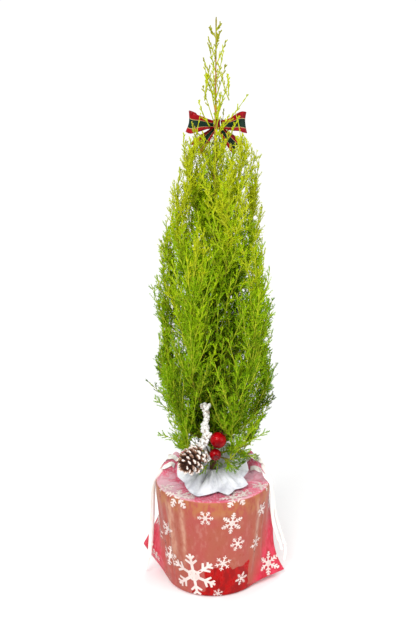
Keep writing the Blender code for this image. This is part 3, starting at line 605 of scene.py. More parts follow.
# How foliage grows: stem, plumes, shoots, shootlets and needles, each set round the one before by the
# golden angle. A plume is tried at PLUME_TRIES turns and at PLUME_SHARES of its length, and may stray over
# its mass's sides. A share LONG_PLUMES of them stands out of the crown.
PLUME_TRIES = 5
PLUME_SHARES = (1.0, 0.8, 0.62)
STRAY = 0.009
LONG_PLUMES = 0.2
PLUME_RADIUS = 0.00075
PLUME_STEPS = 7
STEM_STEPS = 12
SHOOTS = 12
SHOOT_RADIUS = 0.00042
SHOOTLET_PLACES = (0.34, 0.62)
SHOOTLET_BEARER = 0.0085
# The pairs of needles on a plume, a shoot and a shootlet, their size, and how many faces a piece may have.
PAIRS = (9, 5, 2)
NEEDLE_LENGTH = 0.0034
NEEDLE_RADIUS = 0.00050
NEEDLE_FACES = 180000
# From SPARSE_FLOOR up growth is sparse: shorter shoots, and needles that are shorter and stouter.
SPARSE_FLOOR = 0.562
SPARSE_SHOOTS = 0.50
SPARSE_NEEDLES = 0.58
SPARSE_GIRTH = 1.5


def bend_up(directions, amount):
    """Directions turned upwards by adding a share of the vertical to each."""
    return unit(directions + amount * UP)


def curve_points(lines, share):
    """Points on curves that leave each start towards its knee and come in to each end from it.

    Lines, here and below, hold those three points along their first axis.
    """
    starts, knees, ends = lines
    share = np.asarray(share, float)[..., None]
    return (1 - share) ** 2 * starts + 2 * share * (1 - share) * knees + share**2 * ends


def mass_plumes(tier, azimuth, seed):
    """The plumes of one mass, as lines.

    The k-th plume stands at share (k + 0.5) / count of the stem. Every other one springs from the stem at
    about 29 degrees to it; the rest leave it as a twig at about 44 degrees and turn upwards at the twig's
    tip. Each is tried at several turns of the golden angle and several lengths, and takes the first that
    stays inside the mass's space.
    """
    row = TIERS[tier]
    count = row.plumes
    rng = np.random.default_rng(seed)
    twig_length, plume_length = 0.020 + 0.20 * row.reach, 0.026 + 0.36 * row.reach
    k = np.arange(count)
    share = 0.06 + 0.92 * (k + 0.5) / count
    root = stem_point(tier, azimuth, share)[:, None, None]
    tangent = stem_point(tier, azimuth, share + 0.02) - stem_point(tier, azimuth, share - 0.02)
    tangent = unit(tangent)[:, None, None]
    side = unit(np.cross(tangent, UP))
    other = np.cross(side, tangent)
    turn = rng.uniform(0, 2 * np.pi) + GOLDEN_ANGLE * (PLUME_TRIES * k[:, None] + np.arange(PLUME_TRIES))
    turn = turn[:, :, None, None]
    out = np.cos(turn) * side + np.sin(turn) * other
    lean = rng.uniform(-1, 1, (count, PLUME_TRIES))[:, :, None, None]
    size = rng.uniform(0.80, 1.15, (count, 1, 1, 1)) * np.array(PLUME_SHARES)[:, None]
    on_stem = (k % 2 == 0)[:, None, None, None]
    angle = np.radians(np.where(on_stem, 29.0 + 6.0 * lean, 44.0 + 7.0 * lean))
    rise = np.where(on_stem, 0.35, 0.30) * (tier > 0)
    direction = bend_up(np.cos(angle) * tangent + np.sin(angle) * out, rise)
    first = np.where(on_stem, 0.45 * plume_length * size, twig_length * (1.0 - 0.35 * share[0]))
    knee = root + direction * first
    onward = bend_up(direction, np.where(on_stem, 0.25, 0.55))
    end = knee + onward * plume_length * size * np.where(on_stem, 0.55, 1.0)
    far = np.where(rng.random((count, 1, 1)) < LONG_PLUMES, 1.10, rng.uniform(0.86, 1.00, (count, 1, 1)))
    lines = np.stack([np.broadcast_to(root, knee.shape), drawn_in(knee, KNEE_SHARE), drawn_in(end, far)])
    tested = curve_points(lines[..., None, :], (0.3, 0.55, 0.8, 1.0))
    fits = in_space(tier, azimuth, tested).all(axis=-1).reshape(count, -1)
    chosen = fits.argmax(axis=1)
    kept = fits[k, chosen]
    lines = lines.reshape(3, count, -1, 3)[:, k[kept], chosen[kept]]
    tip = stem_point(tier, azimuth, 1.0)
    ending = bend_up(unit(tip - stem_point(tier, azimuth, 0.9)), 0.6)
    length = plume_length * (1.0 if row.trunk_plumes else 0.4)
    last = [tip - ending * 0.012, tip + ending * 0.4 * length, tip + bend_up(ending, 0.4) * 0.95 * length]
    last = drawn_in(np.array(last), END_SHARE)[:, None]
    return np.concatenate([lines, last, trunk_plumes(tier, azimuth, rng)], axis=1)


def trunk_plumes(tier, azimuth, rng):
    """The plumes of one mass that spring from the trunk, between its stem's foot and its neighbours' feet."""
    row, below, above = TIERS[tier], TIERS[max(tier - 1, 0)].foot, TIERS[min(tier + 1, len(TIERS) - 1)].foot
    tries = 6 * row.trunk_plumes
    height = below + (above - below) * rng.uniform(0.1, 0.9, tries)
    bearing = azimuth + 180.0 / row.masses * rng.uniform(-1.1, 1.1, tries)
    out = bend_up(polar(1.0, bearing, 0.0), rng.uniform(0.8, 1.5, tries)[:, None])
    length = (0.026 + 0.36 * row.reach * rng.uniform(0.7, 1.3, tries))[:, None]
    starts = trunk_point(height) + polar(0.9 * trunk_radius(height), bearing, 0.0)
    knees = starts + out * length * 0.5
    lines = np.stack([starts, knees, knees + bend_up(out, 0.5) * length * 0.5])
    tested = curve_points(lines[:, :, None], (0.45, 0.65, 0.85, 1.0))
    return lines[:, np.flatnonzero(in_space(tier, azimuth, tested).all(axis=1))[: row.trunk_plumes]]


def gap_plumes():
    """Plumes from the trunk that stand in the gaps between neighbouring masses, three to a gap."""
    gaps = [(row.foot, row.top, row.azimuth + 360.0 * (k + 0.5) / row.masses)
            for row in TIERS[1:6] for k in range(row.masses)]
    low, high, bearing = np.array(gaps).T[:, :, None]
    step = np.arange(3.0)
    bearing = bearing + 15.0 * (step - 1.0) * (-1.0) ** np.arange(len(bearing))[:, None]
    height = low + 0.25 * (high - low) * step
    top = height + 0.40 * (high - low) + 0.040
    starts = trunk_point(height)
    knees = trunk_point(height + 0.022) + polar(0.50 * crown_radius(height + 0.022, bearing), bearing, 0.0)
    ends = trunk_point(top) + polar((0.74 + 0.12 * step) * crown_radius(top, bearing), bearing, 0.0)
    lines = np.stack([points.reshape(-1, 3) for points in (starts, knees, ends)])
    tested = curve_points(lines[:, :, None], np.linspace(0.2, 1.0, 8))
    return lines[:, ~in_decoration(tested, 0.002).any(axis=1)]


def leader_plumes():
    """The sparse growth beside the leader: single plumes, down to plain shoots near its tip."""
    height = np.linspace(0.590, 0.718, 17)
    azimuth = 290.0 + np.degrees(GOLDEN_ANGLE) * np.arange(len(height))
    length = np.interp(height, (0.590, 0.66, 0.718), (0.054, 0.042, 0.010))
    out = bend_up(polar(1.0, azimuth, 0.0), np.interp(height, (0.66, 0.718), (2.5, 1.3))[:, None])
    starts = trunk_point(height)
    knees = starts + out * length[:, None] * 0.5
    return np.stack([starts, knees, knees + bend_up(out, 0.2) * length[:, None] * 0.5])


def grow_shoots(plumes, count, rng):
    """Side shoots of many plumes at once: their roots, directions, lengths, and the plume that bears each.

    Shoots stand round a plume by the golden angle, flattened to a frond, at 42 degrees near its root and 30
    at its tip. They are longest a quarter of the way up and shorten evenly from there to the tip.
    """
    bearers = plumes.shape[1]
    share = 0.10 + 0.86 * (np.arange(count) + rng.uniform(0.2, 0.8, (bearers, count))) / count
    place = plumes[:, :, None]
    roots = curve_points(place, share)
    tangent = unit(curve_points(place, share + 0.02) - curve_points(place, share - 0.02))
    frond = unit(rng.normal(size=(bearers, 1, 3)))
    side = unit(frond - tangent * np.sum(frond * tangent, axis=-1, keepdims=True))
    other = np.cross(tangent, side)
    turn = (rng.uniform(0, 2 * np.pi, (bearers, 1)) + GOLDEN_ANGLE * np.arange(count))[..., None]
    out = unit(np.cos(turn) * side + 0.60 * np.sin(turn) * other)
    angle = np.radians(42.0 - 12.0 * share + rng.uniform(-5, 5, share.shape))[..., None]
    directions = bend_up(np.cos(angle) * tangent + np.sin(angle) * out, 0.12)
    whole = np.linalg.norm(plumes[2] - plumes[0], axis=-1)[:, None]
    rise = np.clip(share / 0.25, 0.45, 1.0)
    lengths = (0.0050 + 0.26 * whole * (1.0 - share) ** 0.8 * rise) * rng.uniform(0.8, 1.15, share.shape)
    bearer = np.broadcast_to(np.arange(bearers)[:, None], share.shape)
    return roots.reshape(-1, 3), directions.reshape(-1, 3), lengths.ravel(), bearer.ravel()


def shoot_lines(roots, directions, lengths):
    """Slightly upturned shoots, as lines."""
    middles = roots + directions * lengths[:, None] * 0.5
    return np.stack([roots, middles, middles + bend_up(directions, 0.18) * lengths[:, None] * 0.5])


def needles_along(lines, pairs, size, rng):
    """Needles in pairs along many shoots, each pair square to the last and lying forward at 26 degrees."""
    number = np.arange(pairs * 2)
    share = (number // 2 + 0.7) / pairs
    bearers, place = lines.shape[1], lines[:, :, None]
    roots = curve_points(place, share)
    along = unit(curve_points(place, share + 0.02) - curve_points(place, share - 0.02))
    side = unit(np.cross(along, unit(rng.normal(size=(bearers, 1, 3)))))
    turn = np.pi * (number % 2) + 0.5 * np.pi * (number // 2)
    turn = (turn + rng.uniform(-0.3, 0.3, (bearers, pairs * 2)))[..., None]
    out = np.cos(turn) * side + np.sin(turn) * np.cross(along, side)
    angle = np.radians(rng.uniform(18, 34, turn.shape))
    directions = np.cos(angle) * along + np.sin(angle) * out
    lengths = size * rng.uniform(0.8, 1.15, roots.shape[:2])
    across = unit(np.cross(along, out))
    return [array.reshape(-1, *array.shape[2:]) for array in (roots, directions, across, lengths)]


# The greens, from the golden tip of the plant to the painted shade inside it, where the darkest stand in for
# shade: name, colour, and its near neighbour.
GREENS = (
    ("gold", colour(176, 176, 52), colour(158, 158, 38)),
    ("lemon", colour(196, 202, 30), colour(178, 190, 16)),
    ("lime", colour(170, 200, 16), colour(150, 184, 8)),
    ("fresh", colour(140, 180, 14), colour(118, 160, 8)),
    ("deep", colour(100, 138, 10), colour(78, 114, 6)),
    ("shade", colour(52, 82, 6), colour(36, 62, 4)),
)
LEAF_SETTINGS = {"Specular IOR Level": 0.06}
# How many greens down that list growth is by its height, and how many more it goes down inside the crown, as
# painted shade.
TONES = ((0.16, 0.26, 0.38, 0.46, 0.52, 0.60, 0.70), (3.5, 3.2, 2.5, 1.7, 1.1, 0.7, 0.1))
SHADES = ((0.38, 0.48, 0.60), (3.2, 2.2, 0.6))


def green_of(points, bearer_tone):
    """Which green a shoot has: golden at the top and greener below, darker inside the crown as painted shade,
    shifted by its plume's chance.
    """
    radius, bearing = crown_place(points)
    depth = 1.0 - radius / np.maximum(crown_radius(points[:, 2], bearing), 0.012)
    tone = np.interp(points[:, 2], *TONES)
    # Painted shade: the deeper inside the crown, the darker the green.
    shade = np.interp(points[:, 2], *SHADES) * np.maximum(0.0, depth - 0.22)
    return np.clip(np.rint(tone + shade + bearer_tone), 0, len(GREENS) - 1).astype(int)


def grow_shootlets(shoots, directions, lengths, rng):
    """Short side shootlets on the longer shoots, to one side then the other.

    They come as roots, directions, directions square to those, lengths, and the shoot that bears each.
    Those that would leave the crown or touch a decoration aren't grown.
    """
    large = np.flatnonzero(lengths > SHOOTLET_BEARER)
    found = []
    for place, way in zip(SHOOTLET_PLACES, (1.0, -1.0)):
        base = curve_points(shoots[:, large], place)
        across = unit(np.cross(directions[large], rng.normal(size=(len(large), 3))))
        forward = unit(0.80 * directions[large] + 0.60 * way * across)
        size = lengths[large] * (0.46 - 0.22 * place)
        fits = in_crown(base + forward * (size + 0.002)[:, None])
        found.append([array[fits] for array in (base, forward, unit(np.cross(forward, across)), size, large)])
    return [np.concatenate(parts) for parts in zip(*found)]


def add_in_parts(name, points, faces, most, material, slot, hidden):
    """Adds spikes of four points and four faces each as pieces of at most a given number of faces."""
    parts = -(-len(faces) // most)
    shares = [np.array_split(array.reshape(-1, 4, 3), parts) for array in (points, faces)]
    for part, (some_points, some_faces) in enumerate(zip(*shares)):
        shifted = some_faces.reshape(-1, 3) - some_faces.min()
        label = name if parts == 1 else f"{name}_{part + 1}"
        add_piece(label, some_points.reshape(-1, 3), [shifted], material, slot, hidden, smooth=False)


def by_needle(*values):
    """What each plume, shoot and shootlet has, repeated for each of its needles."""
    return np.concatenate([np.repeat(each, 2 * pairs) for each, pairs in zip(values, PAIRS)])


def add_stems(masses, stem_bark, leader_olive, hidden):
    """The bare stem of each mass, and the leader's tip, which swells a little before its end."""
    shares = [np.linspace(0.0, end, STEM_STEPS) for end in STEM_ENDS]
    stems = [stem_point(tier, azimuth, shares[tier]) for tier, azimuth, _ in masses]
    stoutness = np.array([STEM_RADIUS * (1.0 - 0.09 * tier) for tier, _, _ in masses])
    shape = tubes(stems, stoutness[:, None] * np.linspace(1.0, 0.30, STEM_STEPS), 6)
    add_piece("stems", *shape, stem_bark, "bark", hidden)
    leader = trunk_point(np.linspace(TRUNK_TIP - 0.004, PLANT_TOP - 0.001, STEM_STEPS))[None]
    girth = np.interp(np.arange(STEM_STEPS), (0, 8, 10, 11), (0.0009, 0.0008, 0.0011, 0.0005))[None]
    add_piece("leader_tip", *tubes(leader, girth, 8), leader_olive, "lemon_foliage", ["foliage_leader_tip"])


def add_twigs(plumes, shoots, shootlets, twig_green, hidden):
    """The wood of the foliage: plumes as thin limbs, shoots and shootlets as slim pyramids."""
    lines = curve_points(plumes[:, :, None], np.linspace(0.0, 1.0, PLUME_STEPS))
    girth = np.broadcast_to(PLUME_RADIUS * np.linspace(1.0, 0.4, PLUME_STEPS), lines.shape[:2])
    add_piece("plume_twigs", *tubes(lines, girth, 4), twig_green, "lemon_foliage", hidden)
    roots, spans = shoots[0], shoots[2] - shoots[0]
    size = np.linalg.norm(spans, axis=1)
    girth = np.full(len(roots), 1.3 * SHOOT_RADIUS)
    shape = spikes(roots, unit(spans), unit(np.cross(spans, UP)), size, girth)
    add_piece("shoot_twigs", *shape, twig_green, "lemon_foliage", hidden, smooth=False)
    shape = spikes(*shootlets, np.full(len(shootlets[0]), SHOOT_RADIUS))
    add_piece("shootlet_twigs", *shape, twig_green, "lemon_foliage", hidden, smooth=False)


def build_foliage(stem_bark, twig_green, leader_olive):
    """All plumes with their shoots and needles, joined into pieces by kind and by green.

    Shoots stay in the crown's outline, or in a little more than their own plume's reach. Those of the
    placed sprigs and of the leader's plumes go their own way past it, and sparse growth leaves out every
    third shoot.
    """
    hidden = [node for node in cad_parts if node.startswith("foliage_")]
    rng = np.random.default_rng(5)
    masses = [(t, row.azimuth + 360.0 * k / row.masses, 100 * t + k)
              for t, row in enumerate(TIERS) for k in range(row.masses)]
    own = [np.moveaxis(np.array(LOW_SPRIGS + BOW_SPRIGS), 1, 0), leader_plumes()]
    plumes = np.concatenate([mass_plumes(*mass) for mass in masses] + [gap_plumes()] + own, axis=1)
    feet, tops = plumes[0], plumes[2]
    tone = rng.normal(0.0, 1.0, len(feet)) * np.interp(feet[:, 2], (0.30, 0.50), (0.55, 0.32))
    sparse = feet[:, 2] > SPARSE_FLOOR
    own_way = np.arange(len(feet)) >= len(feet) - sum(lines.shape[1] for lines in own)

    roots, directions, lengths, bearer = grow_shoots(plumes, SHOOTS, rng)
    lengths = lengths * np.where(sparse[bearer], SPARSE_SHOOTS, 1.0)
    shoots = shoot_lines(roots, directions, lengths)
    radius, bearing = crown_place(tops)
    share = np.maximum(END_SHARE, radius / crown_radius(tops[:, 2], bearing) + 0.03)[bearer]
    kept = in_crown(shoots[2] + 0.002 * directions, share=share) & in_crown(shoots[1], share=share)
    kept |= own_way[bearer] & (~sparse[bearer] | ~in_decoration(shoots[2], 0.001, combed=False))
    kept &= ~sparse[bearer] | (np.arange(len(bearer)) % 3 > 0)
    shoots, directions, lengths, bearer = shoots[:, kept], directions[kept], lengths[kept], bearer[kept]
    *shootlets, borne_by = grow_shootlets(shoots, directions, lengths, rng)
    add_stems(masses, stem_bark, leader_olive, hidden)
    add_twigs(plumes, shoots, shootlets, twig_green, hidden)

    bases, forward, _, sizes = shootlets
    shootlet_lines = np.stack([bases + forward * sizes[:, None] * share for share in (0.0, 0.5, 1.0)])
    size = NEEDLE_LENGTH * np.where(sparse, SPARSE_NEEDLES, 1.0)[:, None]
    bearers = (plumes, 1.2 * size), (shoots, size[bearer]), (shootlet_lines, 0.9 * size[bearer[borne_by]])
    needles = [needles_along(lines, pairs, length, rng) for (lines, length), pairs in zip(bearers, PAIRS)]
    roots, directions, across, lengths = (np.concatenate(parts) for parts in zip(*needles))
    shoot_greens = green_of(shoots[1], tone[bearer])
    greens = by_needle(green_of(curve_points(plumes, 0.7), tone), shoot_greens, shoot_greens[borne_by])
    stout = by_needle(sparse, sparse[bearer], sparse[bearer[borne_by]])
    for number, (name, one, other) in enumerate(GREENS):
        these = greens == number
        if these.any():
            radii = NEEDLE_RADIUS * np.where(stout[these], SPARSE_GIRTH, 1.0)
            points, (faces,) = spikes(roots[these], directions[these], across[these], lengths[these], radii)
            leaf = mottled(f"Needles {name}", one, other, grain(90.0, 900.0, 0.48, 0.66, 0.1), LEAF_SETTINGS)
            add_in_parts(f"needles_{name}", points, faces, NEEDLE_FACES, leaf, "lemon_foliage", hidden)


def build_trunk(bark):
    """The trunk and boughs with the bark's relief: long plates and furrows that drift round as they climb."""
    rng = np.random.default_rng(11)
    rows, columns = 220, 28
    height = TRUNK_FOOT + (TRUNK_TIP - TRUNK_FOOT) * np.linspace(0.0, 1.0, rows) ** 1.3
    turn = round_turns(columns)
    relief = np.zeros((rows, columns))
    for waves in (3, 5, 8, 13):
        phase = rng.uniform(0, 2 * np.pi) + 25.0 * np.sin(height * rng.uniform(30, 60))[:, None] / waves
        relief += np.sin(waves * np.radians(turn) + phase) / waves**0.5
    rings = 0.35 * np.sin(height * 900.0 + 3.0 * np.sin(height * 70.0))[:, None]
    radius = trunk_radius(height)[:, None] * (1.0 + 0.045 * relief + 0.03 * rings)
    points = trunk_point(height)[:, None] + polar(radius, turn, 0.0)
    trunk = points.reshape(-1, 3), lidded_faces(rows, columns)
    boughs = []
    for tier, row in enumerate(TIERS):
        for k in range(row.masses if row.bough else 0):
            line = stem_point(tier, row.azimuth + 360.0 * k / row.masses, np.linspace(0.0, 1.0, 200))
            run = np.concatenate([[0.0], np.cumsum(np.linalg.norm(np.diff(line, axis=0), axis=1))])
            steps = np.linspace(0.0, row.bough, BOUGH_STEPS)
            boughs.append(np.stack([np.interp(steps, run, line[:, i]) for i in range(3)], axis=1))
    boughs = np.array(boughs)
    knots = 1.0 + 0.10 * np.sin(np.arange(BOUGH_STEPS) * 1.9 + np.arange(len(boughs))[:, None])
    girth = np.linspace(BOUGH_FOOT_RADIUS, BOUGH_TIP_RADIUS, BOUGH_STEPS) * knots
    replaced = ["trunk", *[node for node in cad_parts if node.startswith("bough_")]]
    add_piece("trunk_and_boughs", *joined([trunk, tubes(boughs, girth, 10)]), bark, "bark", replaced)


# Pot, soil, bag and liner.


def ripple(azimuth, height, waves, phase):
    """A slow wave round the upright axis that drifts with height."""
    return np.sin(waves * np.radians(azimuth) + phase + 11.0 * height)


def turned(profile, columns):
    """A turned surface: a profile of radius and height, up its outer side, carried round the upright axis."""
    radius, height = np.array(profile).T
    points = polar(radius[:, None], round_turns(columns), height[:, None])
    return points.reshape(-1, 3), lidded_faces(len(radius), columns)


def build_pot(clay):
    """The plastic pot with its rolled lip and moulded rings: one profile out, up, over the lip and in."""
    top, lip = POT_BASE + POT_HEIGHT, POT_TOP_RADIUS + POT_LIP
    inside = POT_FOOT_RADIUS - POT_WALL
    wall = np.linspace(POT_BASE + 0.002, top - POT_LIP_DEPTH - 0.001, 40)
    girth = np.interp(wall, (POT_BASE, top), (POT_FOOT_RADIUS, POT_TOP_RADIUS))
    girth += 0.0003 * np.sin(wall * 900.0) * (wall > 0.085)
    profile = [(0.002, POT_BASE), (POT_FOOT_RADIUS - 0.003, POT_BASE)]
    profile += [(POT_FOOT_RADIUS - 0.001, POT_BASE + 0.0006)]
    profile += list(zip(girth, wall))
    profile += [(lip - 0.0006, top - POT_LIP_DEPTH), (lip, top - POT_LIP_DEPTH + 0.0008)]
    profile += [(lip + 0.0002, top - 0.012), (lip, top - 0.002), (lip - 0.0006, top - 0.0004)]
    profile += [(lip - 0.0016, top)]
    profile += [(POT_TOP_RADIUS - POT_WALL, top - 0.0008), (POT_TOP_RADIUS - POT_WALL - 0.0006, top - 0.004)]
    profile += [(inside + 0.0002, POT_BASE + POT_WALL + 0.001), (inside - 0.002, POT_BASE + POT_WALL)]
    profile += [(0.002, POT_BASE + POT_WALL)]
    add_piece("pot_body", *turned(profile, 128), clay, "terracotta_plastic", ["pot"])


def build_soil(earth, grit):
    """The soil with its crumbs and white grit.

    Its surface is made of waves that die out at the rim, and its sides go straight down to the pot's floor.
    """
    rows, columns = 40, 120
    out, turn = np.linspace(0.02, 1.0, rows)[:, None], round_turns(columns)[None]
    rim = POT_TOP_RADIUS - POT_WALL - 0.0018
    swing = np.radians(turn)
    lump = 0.0008 * (np.sin(out * 60 + 3 * np.sin(swing * 7)) + np.sin(swing * 19 + out * 23))
    crumbs = polar(rim * out, turn, SOIL_TOP - 0.0022 + lump * (1.0 - out**6) + 0.0012 * (1.0 - out))
    floor = POT_BASE + POT_WALL + GAP
    foot = POT_FOOT_RADIUS - POT_WALL - 0.002
    skirt = [polar(foot - 0.0005 * k, turn[0], floor + rise) for k, rise in enumerate((0.002, 0.0))]
    points = np.concatenate([crumbs, np.array(skirt)])
    faces = [group[:, ::-1] for group in lidded_faces(rows + 2, columns)]
    add_piece("soil_filling", points.reshape(-1, 3), faces, earth, "potting_soil", ["soil"])

    rng = np.random.default_rng(3)
    grains = 260
    radius, turn = rim * np.sqrt(rng.uniform(0.05, 0.9, grains)), rng.uniform(0, 360, grains)
    way = unit(rng.normal(size=(grains, 3)))
    size = rng.uniform(0.0012, 0.0026, grains)
    shape = spikes(polar(radius, turn, SOIL_TOP - 0.0006), way, unit(np.cross(way, UP)), size, size * 0.6)
    add_piece("soil_grit", *shape, grit, "potting_soil", ["soil"], smooth=False)


def wall_radius(height):
    """The film's radius round the pot, away from the corners."""
    return BAG_FOOT_RADIUS + (BAG_RIM_RADIUS - BAG_FOOT_RADIUS) * np.minimum(1.0, height / 0.120)


def ear_reach(ear, height):
    """How far one corner of the bag reaches at a height: furthest at its tip, and fading up the side seam."""
    _, reach, tip, root, sharpness, strip = ear
    foot = wall_radius(height) + EAR_FOOT
    rise = np.maximum(0.0, 1.0 - (height - tip) / (root - tip))
    swing = strip * np.minimum(1.0, 2.2 * rise) + (1.0 - strip) * rise**sharpness
    above = wall_radius(height) + (reach - wall_radius(tip)) * swing
    return np.where(height < tip, foot + (reach - foot) * height / tip, above)


def ear_share(azimuth, height):
    """How much further than the pot's own circle the flat bag reaches there, in metres."""
    wall = wall_radius(height)
    out = np.zeros(np.broadcast(azimuth, height).shape)
    for ear in EARS:
        swing = np.abs(off_bearing(azimuth, ear[0]))
        touch = np.degrees(np.arccos(np.minimum(1.0, wall / ear_reach(ear, height))))
        fin = wall / np.cos(np.radians(np.clip(touch - swing, 0.0, 89.0))) - wall
        out = np.maximum(out, np.where(swing < touch, fin, 0.0))
    return out


# How the film runs from the middle of its underside: distance along it, radius and height.
FILM_RUN = (
    (0.000, 0.0000, 0.0000),
    (0.060, 0.0600, 0.0000),
    (0.064, 0.0632, 0.0018),
    (0.185, 0.0768, 0.1240),
    (0.199, 0.0768, 0.1376),
    (0.202, 0.0750, 0.1396),
    (0.204, 0.0728, 0.1399),
    (0.227, 0.0500, 0.1399),
    (0.241, 0.0360, 0.1394),
)
# The distances along the film of its foot, its rim, the turn over the rim, the tapes' channel and its hem.
FOOT_RUN = 0.064
RIM_RUN = 0.199
LAP_RUN = 0.204
CHANNEL_RUN = 0.227
HEM_RUN = 0.241
# Where slack folds gather beside the two corners, and how wide each gathering is.
SLACK_AT = (-30.0, -150.0, 25.0, 145.0)
SLACK_SPREAD = 13.0
# Where the gathered film stands up behind: azimuth, spread and height of each puff.
PUFFS = ((150.0, 26.0, 0.017), (112.0, 15.0, 0.010), (68.0, 15.0, 0.010), (30.0, 24.0, 0.019))


def film_point(azimuth, run):
    """The bag's film by azimuth and distance from the middle of its underside.

    A profile carried round the pot, pulled out straight to the bag's two bottom corners, with slack folds
    that run down from the rim, deepest beside the corners, and a mouth that lies flat in front and stands
    up at the back.
    """
    azimuth, run = np.broadcast_arrays(np.asarray(azimuth, float), np.asarray(run, float))
    steps, radii, heights = np.array(FILM_RUN).T
    radius, height = np.interp(run, steps, radii), np.interp(run, steps, heights)
    side = (run > FOOT_RUN - 0.004) & (run < RIM_RUN + 0.001)
    pulled = ear_share(azimuth, height) * share_between(run, FOOT_RUN - 0.004, FOOT_RUN)
    radius = radius + np.where(side, pulled, 0.0)
    up = share_between(run, FOOT_RUN, RIM_RUN)
    slack = np.sin(np.pi * np.clip(up * 1.05, 0.0, 1.0))
    beside = sum(np.exp(-(off_bearing(azimuth, at) / SLACK_SPREAD) ** 2) for at in SLACK_AT)
    folds = 0.00045 * ripple(azimuth, 2.0 * height, 9, 0.4)
    folds = folds + 0.00035 * ripple(azimuth, -1.5 * height, 17, 2.0)
    gathers = ripple(azimuth, 0.6 * height, 26, 1.0) + 0.4 * ripple(azimuth, height, 41, 0.0)
    folds = folds + 0.0016 * beside * gathers
    radius = radius + slack * folds
    inward = share_between(run, LAP_RUN, CHANNEL_RUN)
    behind = np.maximum(0.0, np.sin(np.radians(azimuth))) ** 0.8
    wave = 0.5 * np.sin(5 * np.radians(azimuth) + 0.7) + 0.3 * np.sin(9 * np.radians(azimuth) + 2.0)
    radius = radius + inward * (0.006 * behind + 0.004 * wave)
    crush = 0.0006 * (ripple(azimuth, 9 * radius, 23, 0.0) + ripple(azimuth, -7 * radius, 38, 1.0))
    puff = sum(lift * np.exp(-((azimuth % 360.0 - at) / wide) ** 2) for at, wide, lift in PUFFS)
    bulge = np.sin(np.pi * inward**0.6) ** 0.8
    puff = puff * bulge * (1.0 + 0.12 * ripple(azimuth, 0.0, 31, 0.5))
    height = height + inward * (BAG_MOUTH_RISE * behind + crush) + puff
    return polar(np.maximum(radius, 0.0005), azimuth, height)


# Where the film clings to the pot: its sides in degrees from the front, its height, how much of the waver
# its upper edge has, and how softly that edge fades; the sides fade over CONTACT_FADE degrees.
CONTACTS = ((-12.0, 48.0, 0.046, 1.0, 0.006), (-28.0, 58.0, 0.009, 0.3, 0.003))
CONTACT_FADE = 6.0


def contact_share(azimuth, height):
    """How much the film clings to the pot: in a patch low in front, and in a thin line along the bottom."""
    swing = off_bearing(azimuth, -90.0)
    edge = 0.003 * np.sin(swing * 0.16) + 0.0015 * np.sin(swing * 0.45 + 1.0)
    share = 0.0
    for left, right, top, waver, fade in CONTACTS:
        sides = np.minimum(swing - left, right - swing) / CONTACT_FADE
        share = np.maximum(share, np.minimum(sides, (top + waver * edge - height) / fade))
    return np.minimum(share, 1.0)


# Where light catches the film's upright folds: azimuth and spread.
PAINTED_FOLD_HIGHLIGHTS = ((-140.0, 5.0), (-124.0, 2.5), (-40.0, 3.5), (60.0, 4.0), (125.0, 4.0))


def build_bag(film):
    """The printed film bag in one sheet, from the middle of its underside to its wavy hem.

    Its marks say where the pot stands behind it, where it clings, where a fold catches light, and where its
    mouth is.
    """
    fin_turns = [ear[0] + np.array([-2.0, -1.2, -0.5, 0.0, 0.5, 1.2, 2.0]) for ear in EARS]
    turn = np.unique(np.round(np.concatenate([np.arange(-180.0, 180.0, 1.5), *fin_turns]) % 360.0, 3))
    wall_run, lap_run = np.linspace(0.060, RIM_RUN, 64), np.linspace(0.200, HEM_RUN, 30)
    run = np.concatenate([np.linspace(0.001, 0.058, 6), wall_run, lap_run])
    points = film_point(turn[None, :], run[:, None])
    azimuth, height = np.broadcast_arrays(turn[None, :], points[..., 2])
    wall = (run > FOOT_RUN - 0.002)[:, None] & (run < RIM_RUN + 0.004)[:, None]
    fin = np.clip(ear_share(azimuth, np.minimum(height, 0.13)) / 0.006, 0.0, 1.0) * wall
    swing = off_bearing(azimuth, 0.0)
    bends = 3.0 * np.sin(22.0 * height)
    # Painted highlights: bands down the film where its upright folds would catch the light.
    painted_fold_highlights = sum(np.exp(-(((swing - at - bends) / wide) ** 2)) for at, wide in PAINTED_FOLD_HIGHLIGHTS)
    painted_fold_highlights = painted_fold_highlights * share_between(height, 0.030, 0.070) * share_between(height, 0.135, 0.125) * wall
    marks = {
        "backed": (wall & (height > 0.002)) * (1.0 - fin),
        "clinging": contact_share(azimuth, height) * wall,
        "painted_fold_highlight": painted_fold_highlights,
        "mouth": np.broadcast_to((run > RIM_RUN + 0.002)[:, None], height.shape).astype(float),
    }
    marks = {name: np.ravel(values) for name, values in marks.items()}
    middle = np.arange(len(turn))[None, ::-1]
    faces = [grid_faces(len(run), len(turn), closed=True), middle]
    bag = add_piece("film_bag", points.reshape(-1, 3), faces, film, "red_film", ["bag"], marks=marks)
    return add_wall(bag, 0.00012, -1.0)


# The barbs on each kind of snowflake's arms, in shares of the arm: where each pair stands, and its reach.
FLAKE_BARBS = (
    ((0.40, 0.26), (0.64, 0.24), (0.86, 0.14)),
    ((0.52, 0.32), (0.78, 0.22)),
    ((0.30, 0.16), (0.60, 0.30)),
)


def flake_bars(size, kind):
    """The bars of one arm of a snowflake, flat: rows of start, end and the widths at both."""
    bars = [((0.0, 0.0), (size, 0.0), 0.15 * size, 0.10 * size)]
    for at, reach in FLAKE_BARBS[kind]:
        for way in (-1.0, 1.0):
            end = (size * (at + 0.62 * reach), way * size * 0.80 * reach)
            bars.append(((size * at, 0.0), end, 0.12 * size, 0.09 * size))
    bars.append(((size * 0.20, -0.12 * size), (size * 0.20, 0.12 * size), 0.10 * size, 0.10 * size))
    return bars


